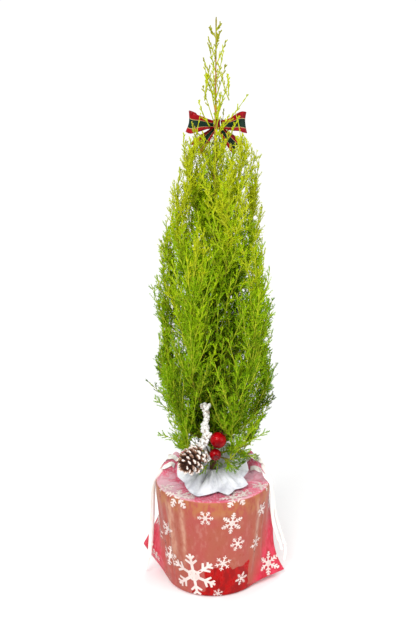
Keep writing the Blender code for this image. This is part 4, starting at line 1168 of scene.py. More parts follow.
def flake_mesh(azimuth, run, size, kind, twist):
    """One printed snowflake: its bars as strips, their points moved along the film and then off it."""
    steps = np.linspace(0.0, 1.0, 5)
    sheets = []
    for arm in range(6):
        turn = math.radians(60.0 * arm + twist)
        for layer, (start, end, foot, tip) in enumerate(flake_bars(size, kind)):
            start, end = np.array(start), np.array(end)
            along = unit(end - start)
            across = np.array([-along[1], along[0]])
            middle = start + (end - start) * steps[:, None]
            half = 0.5 * (foot + (tip - foot) * steps)[:, None]
            flat = np.stack([middle + across * half, middle - across * half], axis=1)
            spun = np.stack([
                flat[..., 0] * math.cos(turn) - flat[..., 1] * math.sin(turn),
                flat[..., 0] * math.sin(turn) + flat[..., 1] * math.cos(turn),
            ], axis=-1)
            sheets.append((spun, 0.00018 + 0.00001 * (6 * layer + arm)))
    flat = np.array([sheet for sheet, _ in sheets])
    lift = np.array([lift for _, lift in sheets])[:, None, None, None]
    away = np.linalg.norm(film_point(azimuth, run)[:2])
    turns, runs = azimuth + np.degrees(flat[..., 0] / away), run + flat[..., 1]
    on_film = film_point(turns, runs)
    east = film_point(turns + 0.15, runs) - film_point(turns - 0.15, runs)
    north = film_point(turns, runs + 0.0003) - film_point(turns, runs - 0.0003)
    points = on_film + unit(np.cross(east, north)) * lift
    quads = grid_faces(5, 2)[None] + (10 * np.arange(len(sheets)))[:, None, None]
    return points.reshape(-1, 3), [quads.reshape(-1, 4)]


# The printed snowflakes in front: azimuth, distance along the film, half size, kind of arm and twist.
FLAKES = (
    (-128.0, 0.2050, 0.0205, 0, 10.0), (-97.5, 0.1790, 0.0105, 1, 0.0), (-71.0, 0.1700, 0.0150, 0, 22.0),
    (-63.5, 0.1385, 0.0105, 1, 8.0), (-79.0, 0.1130, 0.0115, 2, 15.0), (-146.0, 0.1480, 0.0115, 0, 5.0),
    (-147.0, 0.1080, 0.0150, 1, 18.0), (-112.0, 0.0930, 0.0310, 1, 38.0), (-37.0, 0.1290, 0.0110, 2, 14.0),
    (-84.0, 0.0680, 0.0070, 2, 20.0), (-32.0, 0.1750, 0.0100, 0, 3.0), (-67.0, 0.2100, 0.0190, 0, 0.0),
    (-50.0, 0.2150, 0.0110, 1, 12.0), (-115.0, 0.2140, 0.0090, 2, 6.0), (-14.0, 0.0870, 0.0160, 0, 16.0),
    (-153.0, 0.2080, 0.0105, 1, 21.0), (-168.0, 0.1320, 0.0100, 2, 11.0), (-55.0, 0.0840, 0.0095, 0, 9.0),
    (-22.0, 0.2080, 0.0120, 0, 25.0), (26.0, 0.2090, 0.0115, 1, 4.0), (152.0, 0.2090, 0.0115, 2, 14.0),
)
BACK_FLAKES = 26


def build_flakes(white):
    """The snowflakes printed on the film: those in front one by one, those behind by the golden angle."""
    flakes = list(FLAKES)
    for k in range(BACK_FLAKES):
        turn = (17.0 + 137.508 * k) % 190.0 - 5.0
        flakes.append((turn, 0.072 + 0.0046 * k, 0.0085 + 0.0022 * (k * 3 % 4), k % 3, 13.0 * k))
    shape = joined([flake_mesh(*flake) for flake in flakes])
    add_piece("printed_snowflakes", *shape, white, "red_film", ["bag"])


# The ruff's hem, going round: azimuth, distance from the middle and height of each corner and each notch.
RUFF_HEM = (
    (-176.0, 0.0480, 0.1550), (-163.0, 0.0500, 0.1500), (-145.0, 0.0465, 0.1455), (-124.0, 0.0560, 0.1440),
    (-104.0, 0.0690, 0.1434), (-84.0, 0.0520, 0.1440), (-75.0, 0.0645, 0.1434), (-61.0, 0.0545, 0.1442),
    (-47.0, 0.0560, 0.1440), (-33.0, 0.0570, 0.1455), (-24.0, 0.0455, 0.1500), (-10.0, 0.0490, 0.1560),
    (2.0, 0.0440, 0.1690), (24.0, 0.0490, 0.1720), (44.0, 0.0430, 0.1700), (68.0, 0.0500, 0.1740),
    (92.0, 0.0440, 0.1700), (116.0, 0.0490, 0.1690), (140.0, 0.0450, 0.1650), (162.0, 0.0480, 0.1610),
)
RUFF_NECK_RADIUS = 0.0165
RUFF_NECK_HEIGHT = 0.159
RUFF_THROAT_RADIUS = 0.0085
RUFF_FLOOR = 0.1428


def ruff_point(azimuth, share):
    """The liner's ruff: from a narrow neck out to a hem of pointed corners, in folds that open on the way.

    Shares under 0 run down inside the neck, where the liner closes on the trunk.
    """
    corner, reach, rise = np.array(RUFF_HEM).T
    hem = np.interp(azimuth, corner, reach, period=360.0)
    edge = np.interp(azimuth, corner, rise, period=360.0)
    turn = np.radians(azimuth)
    inside = np.maximum(0.0, -share)
    share = np.maximum(0.0, share)
    radius = RUFF_NECK_RADIUS + (hem - RUFF_NECK_RADIUS) * share
    radius = radius - (RUFF_NECK_RADIUS - RUFF_THROAT_RADIUS) * inside
    sharp = np.abs((azimuth / 15.0 + 0.35 * np.sin(3 * turn)) % 2.0 - 1.0) - 0.5
    fine = np.abs((azimuth / 5.5 + 0.8 * np.sin(5 * turn + 1.0)) % 2.0 - 1.0) - 0.5
    folds = (0.0074 * sharp + 0.0028 * fine) * np.sin(np.pi * share**0.8) ** 0.8
    height = RUFF_NECK_HEIGHT + (edge - RUFF_NECK_HEIGHT) * share**0.85 + 0.0030 * np.sin(np.pi * share)
    height = height + folds - 0.010 * inside**0.7
    return polar(radius, azimuth + 3.0 * np.sin(4 * turn) * share, np.maximum(height, RUFF_FLOOR))


def build_ruff(cloth):
    """The white liner, pulled up round the foot of the trunk and folded out over the bag's mouth."""
    turn = np.arange(0.0, 360.0, 1.5)
    share = np.concatenate([np.linspace(-1.0, -0.1, 6), np.linspace(0.0, 1.0, 26)])
    points = ruff_point(turn[None], share[:, None])
    faces = grid_faces(len(share), len(turn), closed=True)[:, ::-1]
    ruff = add_piece("liner_folds", points.reshape(-1, 3), [faces], cloth, "white_liner", ["liner_ruff"])
    add_wall(ruff, 0.0003)


# The bow.


def ribbon(lines, acrosses, widths, columns=9, cup=0.0):
    """A ribbon along a line: flat across, or cupped by a share of its width, with marks from edge to edge.

    Each row runs square to the line, from minus to plus half the width along the across direction.
    """
    along = unit(np.gradient(lines, axis=0))
    across = unit(acrosses - along * np.sum(along * acrosses, axis=-1, keepdims=True))
    normal = np.cross(across, along)
    place = np.linspace(-1.0, 1.0, columns)
    points = lines[:, None] + across[:, None] * (0.5 * widths[:, None] * place)[..., None]
    points = points + normal[:, None] * (cup * widths[:, None] * (place**2 - 0.5))[..., None]
    band = np.broadcast_to(0.5 + 0.5 * place, points.shape[:2])
    return points.reshape(-1, 3), grid_faces(len(lines), columns), band.ravel()


def smooth_line(points, count):
    """Points at even steps along a smooth curve through given ones, as Catmull and Rom."""
    points = np.asarray(points, float)
    padded = np.concatenate([[2 * points[0] - points[1]], points, [2 * points[-1] - points[-2]]])
    place = np.linspace(0.0, len(points) - 1.0001, count)
    first = place.astype(int)
    t = (place - first)[:, None]
    a, b, c, d = (padded[first + k] for k in range(4))
    return 0.5 * (2 * b + (c - a) * t + (2 * a - 5 * b + 4 * c - d) * t**2 + (3 * b - a - 3 * c + d) * t**3)


def add_ribbon(name, points, quads, band, thickness, finish, slot, hidden):
    """One ribbon as a piece, with the mark that its stripes follow."""
    add_wall(add_piece(name, points, [quads], finish, slot, [hidden], marks={"band": band}), thickness)


def build_bow(tartan):
    """Two loops, two tails and the wrap between them, from one striped ribbon.

    A loop leaves the knot and runs almost a whole turn back to it. A tail falls from behind it to a notch.
    """
    look = (RIBBON_THICKNESS, tartan, "striped_ribbon")
    for side, way in (("left", -1.0), ("right", 1.0)):
        turn = np.pi * np.linspace(0.07, 1.93, 49)
        out = 0.5 * (1.0 - np.cos(turn))
        depth = np.sin(turn) * (BOW_DEPTH - 0.0004) * out**0.5
        swell = 0.0012 * np.sin(3.1 * turn + way)
        x = way * (0.0042 + (BOW_HALF_SPAN - 0.0042) * out)
        lines = BOW_CENTRE + np.stack([x, depth, 0.0030 * out**2 + swell * out], axis=1)
        widths = RIBBON_WIDTH * (0.38 + 0.64 * np.minimum(1.0, out * 1.15) ** 1.3)
        across = UP + np.array([-way * 0.10, 0.0, 0.0]) * out[:, None]
        shape = ribbon(lines, across, widths, 13, 0.05 * way)
        add_ribbon(f"ribbon_loop_{side}", *shape, *look, f"bow_loop_{side}")
        share = np.linspace(0.0, 1.0, 25)
        flutter = 0.0010 * np.sin(5.0 * share + way)
        x, y, z = way * (0.0036 + 0.0245 * share), 0.0050 + flutter * share, -0.0050 - 0.0265 * share
        fall = np.stack([x, y, z], axis=1)
        widths = np.interp(share, (0.0, 0.25, 0.5, 0.75, 1.0), (0.0055, 0.0095, 0.0150, 0.0180, 0.0190))
        points, quads, band = ribbon(BOW_CENTRE + fall, np.tile([way, 0.0, 1.0], (25, 1)), widths, 13, 0.04)
        middle = 1.0 - np.abs(2.0 * band.reshape(25, 13) - 1.0)
        notch = np.maximum(0.0, share[:, None] - 0.70) / 0.30 * middle
        points = points - (notch[..., None] * unit(fall[-1] - fall[0]) * 0.0075).reshape(-1, 3)
        add_ribbon(f"ribbon_tail_{side}", points, quads, band, *look, f"bow_tail_{side}")
    rows, columns = 15, 32
    turn = np.linspace(0.0, 2 * np.pi, columns + 1)[:-1]
    up = np.linspace(-1.0, 1.0, rows)[:, None]
    girth = 0.0034 + 0.0006 * up**2 + 0.00025 * np.sin(5 * turn + 3 * up)
    across, deep = girth * np.cos(turn), 1.15 * girth * np.sin(turn) - 0.0005
    wrap = np.stack([across, deep, 0.0062 * up + 0 * turn], axis=-1)
    poles = BOW_CENTRE + np.array([[0, 0, -0.0058], [0, 0, 0.0058]])
    points = np.concatenate([(BOW_CENTRE + wrap).reshape(-1, 3), poles])
    marks = {"band": np.concatenate([np.tile(0.5 + 0.5 * np.sin(turn), rows), [0.5, 0.5]])}
    faces = poled_faces(rows, columns)
    add_piece("ribbon_wrap", points, faces, tartan, "striped_ribbon", ["bow_wrap"], marks=marks)


# The pine cone pick.


def sphere_ways(count):
    """Even directions over a sphere, by the golden angle."""
    k = np.arange(count)
    height = 1.0 - 2.0 * (k + 0.5) / count
    ring = np.sqrt(1.0 - height * height)
    return np.stack([ring * np.cos(k * GOLDEN_ANGLE), ring * np.sin(k * GOLDEN_ANGLE), height], axis=1)


def ball_grid(rows, columns):
    """A unit ball's points from pole to pole, with its faces: triangles at the poles and quads between."""
    rise = np.linspace(-np.pi / 2, np.pi / 2, rows)[1:-1, None]
    turn = 2 * np.pi * np.arange(columns) / columns
    places = np.broadcast_arrays(np.cos(rise) * np.cos(turn), np.cos(rise) * np.sin(turn), np.sin(rise))
    points = np.stack(places, axis=-1)
    points = np.concatenate([points.reshape(-1, 3), [[0.0, 0.0, -1.0], [0.0, 0.0, 1.0]]])
    return points, poled_faces(rows - 2, columns)


def cone_frame():
    """The cone's axis and two directions square to it."""
    axis = unit(CONE_AXIS)
    side = unit(np.cross(axis, UP))
    return axis, side, np.cross(axis, side)


def build_cone(wood):
    """An open pine cone: a core, and woody scales that overlap in a spiral, closed shields with painted tips.

    A scale's half width swells to four fifths of its length and then rounds off; its end curls back by a
    share of the square of the distance along it.
    """
    axis, side, other = cone_frame()
    count, rows, columns = 58, 10, 7
    ways = sphere_ways(count + 4)[2:-2]
    height = -ways[:, 2]
    rng = np.random.default_rng(9)
    flare = axis * (0.34 + 0.50 * height)[:, None] + 0.05 * rng.normal(size=(count, 3))
    out = unit(side * ways[:, :1] + other * ways[:, 1:2] + flare)
    root = CONE_CENTRE + axis * (height * 0.0125 - 0.0010)[:, None] + out * 0.0030
    wide = unit(np.cross(axis, out))
    thick = np.cross(out, wide)
    reach = (CONE_RADIUS - 0.0062 + 0.0022 * (1.0 - np.abs(height))) * rng.uniform(0.93, 1.0, count)
    reach = np.where(height > 0.70, 0.80 * reach, reach)
    along, place = np.linspace(0.0, 1.0, rows)[:, None], np.linspace(-1.0, 1.0, columns)[None]
    half = (0.0012 + 0.0031 * np.sin(1.75 * along**1.9)) * np.sqrt(np.clip(1.03 - along**7, 0.0, 1.0))
    girth = (0.75 + 0.25 * (1.0 - np.abs(height)))[:, None, None]
    curl = -0.0024 * along**3 + 0.0009 * (1.0 - place**2) * along
    parts = []
    for layer in (1.0, -1.0):
        depth = curl + layer * (0.0005 + 0.0007 * along**4) * np.sqrt(np.clip(1.0 - place**2, 0.0, 1.0))
        spot = root[:, None, None] + out[:, None, None] * (reach[:, None, None] * along)[..., None]
        spot = spot + wide[:, None, None] * (half * girth * place)[..., None]
        parts.append(spot + thick[:, None, None] * np.broadcast_to(depth, (count, rows, columns))[..., None])
    points = np.concatenate(parts, axis=1).reshape(-1, 3)
    one = rows * columns
    sheet = grid_faces(rows, columns)
    numbers = np.arange(one).reshape(rows, columns)
    edge = np.concatenate([numbers[0], numbers[1:, -1], numbers[-1, -2::-1], numbers[-2:0:-1, 0]])
    following = np.roll(edge, -1)
    rim = np.stack([edge, following, following + one, edge + one], axis=1)
    faces = np.concatenate([sheet[:, ::-1], sheet + one, rim])
    faces = (faces[None] + 2 * one * np.arange(count)[:, None, None]).reshape(-1, 4)
    frost = np.clip((along + 0.14 * place**2 - 0.70) / 0.32, 0.0, 1.0)
    frost = np.tile(np.concatenate([0.9 * frost, 0.75 * frost]).ravel(), count)
    paint = np.repeat(rng.uniform(0.40, 1.10, count), 2 * one)
    ball, groups = ball_grid(5, 7)
    tips = root + out * reach[:, None] - thick * 0.0014
    sizes = rng.choice([0.0, 0.0008, 0.0011, 0.0014], count)
    lumps = [(tip + size * ball, groups) for tip, size in zip(tips, sizes) if size > 0.0]
    core_line = CONE_CENTRE + axis * np.linspace(-0.0165, 0.0140, 12)[:, None]
    core_girth = np.interp(np.linspace(0, 1, 12), (0, 0.3, 0.7, 1), (0.005, 0.0098, 0.0085, 0.002))
    core = tubes(core_line[None], core_girth[None], 16)
    bare, white = np.zeros(len(core[0])), np.ones(len(lumps) * len(ball))
    marks = {"frost": np.concatenate([frost * paint, bare, white])}
    shape = joined([(points, [faces]), core, *lumps])
    add_piece("cone_scales", *shape, wood, "cone_scales", ["pine_cone"], marks=marks)


# The frosted spike's middle line, how thick the frost is there, and the clumps beside its foot.
FROST_LINE = (
    (-0.0145, -0.0495, 0.2040, 0.0042), (-0.0125, -0.0495, 0.2093, 0.0050),
    (-0.0088, -0.0495, 0.2190, 0.0054), (-0.0106, -0.0490, 0.2307, 0.0042),
    (-0.0085, -0.0490, 0.2428, 0.0024), (-0.0094, -0.0490, 0.2510, 0.0032),
    (-0.0096, -0.0490, 0.2590, 0.0046),
)
FROST_CLUMPS = (
    (-0.0090, -0.0500, 0.1950, 0.0019),
    (-0.0058, -0.0500, 0.1885, 0.0016),
    (-0.0052, -0.0490, 0.2205, 0.0014),
)


def build_spike(snow):
    """The frosted spike: crumbs of artificial frost round a wandering stick, with clumps beside its foot."""
    rng = np.random.default_rng(7)
    line = smooth_line(FROST_LINE, 190)
    turn = rng.uniform(0.0, 2 * np.pi, len(line))
    ring = np.stack([np.cos(turn), np.sin(turn), 0.0 * turn], axis=1)
    centres = line[:, :3] + ring * (line[:, 3] * rng.uniform(0.55, 1.0, len(line)))[:, None]
    on_top = 7
    round_top = 2 * np.pi * np.arange(on_top) / on_top
    crown = np.stack([0.0050 * np.cos(round_top), 0.0040 * np.sin(round_top), 0.0010 * np.cos(3 * round_top)])
    crown = crown.T + FROST_LINE[-1][:3]
    clumps = np.repeat(np.array(FROST_CLUMPS), 12, axis=0)
    clumps = clumps[:, :3] + clumps[:, 3:] * rng.normal(size=(len(clumps), 3)) * np.array([0.8, 0.6, 1.0])
    centres = np.concatenate([centres, crown, clumps])
    sizes = rng.uniform(0.0012, 0.0026, len(centres))
    sizes[len(line) : len(line) + on_top] = 0.0024
    ball, groups = ball_grid(7, 9)
    parts = []
    for centre, size in zip(centres, sizes):
        lumps = 1.0 + 0.16 * np.sin(ball @ rng.normal(scale=3.5, size=3) + rng.uniform(0, 6))
        parts.append((centre + size * ball * lumps[:, None], groups))
    stick = line[::8]
    parts.append(tubes(stick[None, :, :3], 0.6 * stick[None, :, 3], 10))
    shape = joined(parts)
    bare = np.repeat(rng.choice([1.0, 1.0, 1.0, 1.0, 0.45], len(centres)), len(ball))
    bare = np.concatenate([bare, np.full(len(shape[0]) - len(bare), 0.35)])
    add_piece("frost_crumbs", *shape, snow, "artificial_frost", ["frosted_spike"], marks={"frost": bare})


def build_berries(red, calyx):
    """Two lacquered berries with a dimple at the crown and a five-pointed star in it."""
    for name, centre, radius, crown in BERRIES:
        crown = unit(crown)
        side = unit(np.cross(crown, [0.3, 0.9, 0.1]))
        turned_to = np.stack([side, np.cross(crown, side), crown])
        ball, groups = ball_grid(40, 56)
        dimple = np.exp(-(((1.0 - ball[:, 2]) / 0.06) ** 2))
        shape = ball * (1.0 - 0.12 * dimple[:, None]) * np.array([1.0, 1.0, 0.97])
        points = centre + radius * shape @ turned_to
        add_piece(name.replace("_", "_lacquer_"), points, groups, red, "red_lacquer", [name])
        share, place = np.linspace(0.0, 1.0, 8)[:, None], np.linspace(-1.0, 1.0, 5)[None]
        parts = []
        for k in range(5):
            turn = 2 * np.pi * k / 5
            reach = 0.08 + 0.46 * share
            width = 0.16 * (1.0 - share) ** 0.8 + 0.015
            local = np.stack([
                reach * math.cos(turn) - width * place * math.sin(turn),
                reach * math.sin(turn) + width * place * math.cos(turn),
                0.90 + 0.22 * share**1.5 - 0.03 * place**2 + 0 * share,
            ], axis=-1).reshape(-1, 3)
            parts.append((centre + radius * local @ turned_to, [grid_faces(8, 5)]))
        star = add_piece(name.replace("_", "_star_"), *joined(parts), calyx, "red_lacquer", [name])
        add_wall(star, 0.0004)


def build_stick(bark):
    """The brown stick from the soil to its fork, and its stalks to the cone, the spike and the berries."""
    foot = np.array([0.0010, -0.0115, SOIL_TOP + GAP])
    knee, fork = np.array([[0.0008, -0.0125, 0.1660], [-0.0030, -0.0330, 0.1860]])
    axis = unit(CONE_AXIS)
    ends = [centre - unit(centre - fork) * radius for _, centre, radius, _ in BERRIES]
    ends += [SPIKE_FOOT - unit(SPIKE_FOOT - fork) * 0.004, CONE_CENTRE - axis * 0.0155]
    ends += [np.array(clump[:3]) for clump in FROST_CLUMPS[:2]]
    parts = [tubes(smooth_line([foot, knee, fork], 30)[None], np.full((1, 30), 0.0012), 10)]
    for end in ends:
        middle = 0.5 * (fork + end) - 0.0008 * UP
        line = smooth_line([fork - unit(end - fork) * 0.001, middle, end], 14)
        parts.append(tubes(line[None], np.linspace(0.0010, 0.0008, 14)[None], 8))
    add_piece("stick_and_stalks", *joined(parts), bark, "pick_stick_wood", ["pick_stick"])


# The drawstrings: where each tape leaves its channel and crosses the rim, the points below, and its tip.
DRAWSTRINGS = {
    "drawstring_right_outer": (
        (32.0, 3.0),
        (
            (0.0815, -0.0020, 0.1200), (0.0865, -0.0020, 0.0860),
            (0.0955, -0.0010, 0.0560), (0.1000, 0.0, 0.0360),
        ),
        (0.0985, 0.0010, 0.0180),
    ),
    "drawstring_right_inner": (
        (14.0, -8.0),
        (
            (0.0795, -0.0115, 0.1200), (0.0815, -0.0115, 0.0860),
            (0.0880, -0.0095, 0.0600), (0.0920, -0.0075, 0.0480),
        ),
        (0.0945, -0.0065, 0.0380),
    ),
    "drawstring_left_outer": (
        (150.0, 168.0),
        (
            (-0.0820, 0.0090, 0.1200), (-0.0845, 0.0070, 0.0820),
            (-0.0860, 0.0040, 0.0500), (-0.0885, 0.0000, 0.0240),
        ),
        (-0.0925, -0.0010, 0.0060),
    ),
    "drawstring_left_inner": (
        (162.0, 179.0),
        (
            (-0.0800, 0.0005, 0.1200), (-0.0812, -0.0015, 0.0820),
            (-0.0828, -0.0040, 0.0560), (-0.0845, -0.0060, 0.0400),
        ),
        (-0.0862, -0.0070, 0.0270),
    ),
}
TAPE_STEPS = 120
TAPE_WIDTHS = (0.0066, 0.0034)
TAPE_THICKNESS = 0.0006
KNOT_STEP = 102


def build_drawstrings(satin):
    """Four satin tapes out of the channel, over the rim and down, each doubled in a knot near its end.

    On the bag's mouth a tape lies tilted towards the front; below the rim it turns, with a slow twist, to
    hang flat.
    """
    lift = np.array([0.0, -0.0010, 0.0032])
    slack = np.linspace(0.0, 1.0, TAPE_STEPS)[:, None]
    for name, ((leaves, crosses), below, tip) in DRAWSTRINGS.items():
        steps = np.array([0.0, 0.2, 0.4, 0.6, 0.8])
        runs = RIM_RUN + 0.004 + (CHANNEL_RUN - RIM_RUN) * (0.85 - steps)
        top = film_point(leaves + (crosses - leaves) * steps, runs) + lift
        over = polar(BAG_RIM_RADIUS + 0.0012, crosses, BAG_RIM_HEIGHT - 0.0010)
        route = [*top, over, *np.array(below), np.array(tip)]
        line = smooth_line(route, TAPE_STEPS)
        twist = 0.9 * np.sin(7.0 * slack + crosses)
        flat = unit(np.cross(np.gradient(line, axis=0), (0.0, -0.7, 0.7)))
        hanging = np.array([1.0, 0.4, 0.0]) + twist * np.array([0.0, 0.6, 0.2])
        across = flat * np.clip(4.8 - 12.0 * slack, 0.0, 1.0)
        across = across + hanging * np.clip(12.0 * slack - 2.0, 0.0, 1.0)
        shape = ribbon(line, across, np.linspace(*TAPE_WIDTHS, TAPE_STEPS), 7, 0.10)
        label = name.replace("drawstring", "satin_tape")
        add_ribbon(label, *shape, TAPE_THICKNESS, satin, "white_satin", name)
        turn = np.linspace(0.0, 2 * np.pi, 61)[:-1]
        ring = 0.00135 + 0.00055 * np.cos(3 * turn)
        loops = np.stack([ring * np.cos(2 * turn), ring * np.sin(2 * turn), 0.0011 * np.sin(3 * turn)]).T
        strand = np.concatenate([loops, loops[:2]]) + line[KNOT_STEP]
        shape = tubes(strand[None], np.full((1, 62), 0.00075), 8)
        add_piece(name.replace("drawstring", "satin_knot"), *shape, satin, "white_satin", [name])


# The finishes of the made things.


def film_finish():
    """Clear printed film: over the pot a salmon haze of painted sheen, the sky's reflection laid over the
    pot's colour seen through; deep red where it clings, with no sheen painted; pink where light comes
    through; painted highlights along its upright folds; whitish clouds on its mouth, partly print and partly
    painted reflection.

    It is partly clear everywhere, closer to opaque over the pot and at its mouth, and most where it clings.
    """
    settings = {"Specular IOR Level": 0.15, "Coat Weight": 0.06, "Coat Roughness": 0.12}
    material, tree, shader = plain_shader("Printed red film", settings)
    names = ("backed", "clinging", "painted_fold_highlight", "mouth")
    backed, clinging, painted_fold_highlight, mouth = (mark_value(tree, name) for name in names)
    cloud = noise(tree, 30.0, (1.0, 1.0, 0.6))
    blotch = noise(tree, 150.0, (1.0, 1.0, 0.5))
    speck = noise(tree, 420.0, detail=4.0)
    # Painted sheen: the salmon haze stands for the white sky reflected on the film, laid over the pot's
    # colour seen through it.
    painted_haze = mix_colours(tree, ramp(tree, cloud, 0.35, 0.66), colour(192, 92, 86), colour(184, 100, 80))
    painted_haze = mix_colours(tree, ramp(tree, blotch, 0.52, 0.72, 0.0, 0.5), painted_haze, colour(208, 142, 130))
    upper = ramp(tree, own_height(tree), 0.112, 0.126)
    band = calculate(tree, "MULTIPLY", upper, ramp(tree, blotch, 0.38, 0.58))
    painted_haze = mix_colours(tree, calculate(tree, "MULTIPLY", band, 0.8), painted_haze, colour(196, 128, 80))
    single = mix_colours(tree, ramp(tree, blotch, 0.38, 0.62), colour(236, 62, 92), colour(214, 40, 62))
    shown = mix_colours(tree, backed, single, painted_haze)
    # Painted highlights: the film pales to beige along its upright folds.
    pale = calculate(tree, "MULTIPLY", painted_fold_highlight, ramp(tree, blotch, 0.34, 0.60, 0.25, 0.85))
    shown = mix_colours(tree, pale, shown, colour(226, 176, 150))
    jagged = calculate(tree, "SUBTRACT", noise(tree, 110.0, detail=4.0, roughness=0.6), 0.5)
    cling = ramp(tree, calculate(tree, "ADD", clinging, calculate(tree, "MULTIPLY", jagged, 1.1)), 0.44, 0.50)
    deep = mix_colours(tree, ramp(tree, blotch, 0.42, 0.58), colour(168, 2, 2), colour(140, 2, 2))
    deep = mix_colours(tree, ramp(tree, speck, 0.62, 0.70, 0.0, 0.4), deep, colour(200, 60, 40))
    shown = mix_colours(tree, cling, shown, deep)
    lap = mix_colours(tree, ramp(tree, speck, 0.46, 0.60), colour(228, 102, 128), colour(236, 164, 180))
    # Whitish clouds on the mouth: partly broken white print, partly painted silvery reflection in the film's
    # crinkles.
    lap = mix_colours(tree, ramp(tree, cloud, 0.48, 0.62, 0.0, 0.7), lap, colour(234, 200, 210))
    shown = mix_colours(tree, mouth, shown, lap)
    creases = bumps(tree, 0.45, 0.0014, noise(tree, 80.0, (1.0, 1.0, 0.5)))
    dress(tree, shader, shown, ramp(tree, blotch, 0.30, 0.70, 0.26, 0.42), creases)
    alpha = calculate(tree, "MULTIPLY", cling, 0.40)
    for mark, share in ((mouth, 0.12), (backed, 0.06)):
        alpha = calculate(tree, "ADD", alpha, calculate(tree, "MULTIPLY", mark, share))
    tree.links.new(calculate(tree, "ADD", alpha, 0.60, clamp=True), shader.inputs["Alpha"])
    return material


def cloth_finish():
    """White frosted liner: near white, with painted blue-grey shade in its crumples, and a soft sheen."""
    settings = {"Specular IOR Level": 0.35, "Sheen Weight": 0.15, "Sheen Roughness": 0.4}
    material, tree, shader = plain_shader("Frosted white liner", settings)
    crumple_relief_and_shade = noise(tree, 70.0, (1.0, 1.0, 0.6), 4.0)
    # Painted shade: where the crumples' relief sinks, the white goes blue-grey.
    shown = mix_colours(tree, ramp(tree, crumple_relief_and_shade, 0.34, 0.62), colour(190, 192, 200), colour(228, 229, 234))
    rough = ramp(tree, noise(tree, 500.0), 0.3, 0.7, 0.38, 0.58)
    dress(tree, shader, shown, rough, bumps(tree, 0.6, 0.0012, crumple_relief_and_shade))
    return material


def ribbon_finish():
    """Striped satin ribbon: red edges, a pale gold thread, a dark green middle, and a fine cross weave."""
    material, tree, shader = plain_shader("Striped ribbon", {"Specular IOR Level": 0.15})
    band = mark_value(tree, "band")
    away = calculate(tree, "ABSOLUTE", calculate(tree, "SUBTRACT", band, 0.46))
    weave = noise(tree, 2600.0, detail=1.0)
    cloud = noise(tree, 120.0)
    red = mix_colours(tree, ramp(tree, cloud, 0.3, 0.7), colour(164, 6, 20), colour(116, 4, 14))
    green = mix_colours(tree, ramp(tree, cloud, 0.3, 0.7), colour(14, 50, 34), colour(5, 20, 15))
    shown = mix_colours(tree, ramp(tree, away, 0.212, 0.222), green, red)
    thread = calculate(tree, "MULTIPLY", ramp(tree, away, 0.205, 0.212), ramp(tree, away, 0.236, 0.229))
    shown = mix_colours(tree, thread, shown, colour(196, 170, 116))
    dress(tree, shader, shown, ramp(tree, weave, 0.3, 0.7, 0.34, 0.55), bumps(tree, 0.25, 0.0002, weave))
    return material


def frosted_finish(name, one, other, edge_colour, frost_colour, values, settings):
    """A mottled ground that pales to its edge, under a crust of white paint or frost where its mark says."""
    material, tree, shader = plain_shader(name, settings)
    ground, mark = add_mottle(tree, one, other, values), mark_value(tree, "frost")
    frosting = {"Mark": mark, "Scale": 620.0, "Spread": 0.30}
    crust = add_node(tree, "ShaderNodeGroup", {"node_tree": FROSTING}, frosting).outputs["Mask"]
    edge = mix_colours(tree, ramp(tree, mark, 0.0, 0.40, 0.0, 0.85), ground["Colour"], edge_colour)
    dress(tree, shader, mix_colours(tree, crust, edge, frost_colour), ground["Roughness"], ground["Normal"])
    return material


def bark_finish(values):
    """Bark: brown and grey-brown at the foot, turning to the tan and orange of the young leader."""
    material, tree, shader = plain_shader("Bark", {"Specular IOR Level": 0.25})
    old = add_mottle(tree, colour(112, 78, 52), colour(76, 50, 34), values)
    young = add_mottle(tree, colour(186, 124, 58), colour(150, 128, 48), values)
    shown = mix_colours(tree, ramp(tree, own_height(tree), 0.36, 0.56), old["Colour"], young["Colour"])
    dress(tree, shader, shown, old["Roughness"], old["Normal"])
    return material


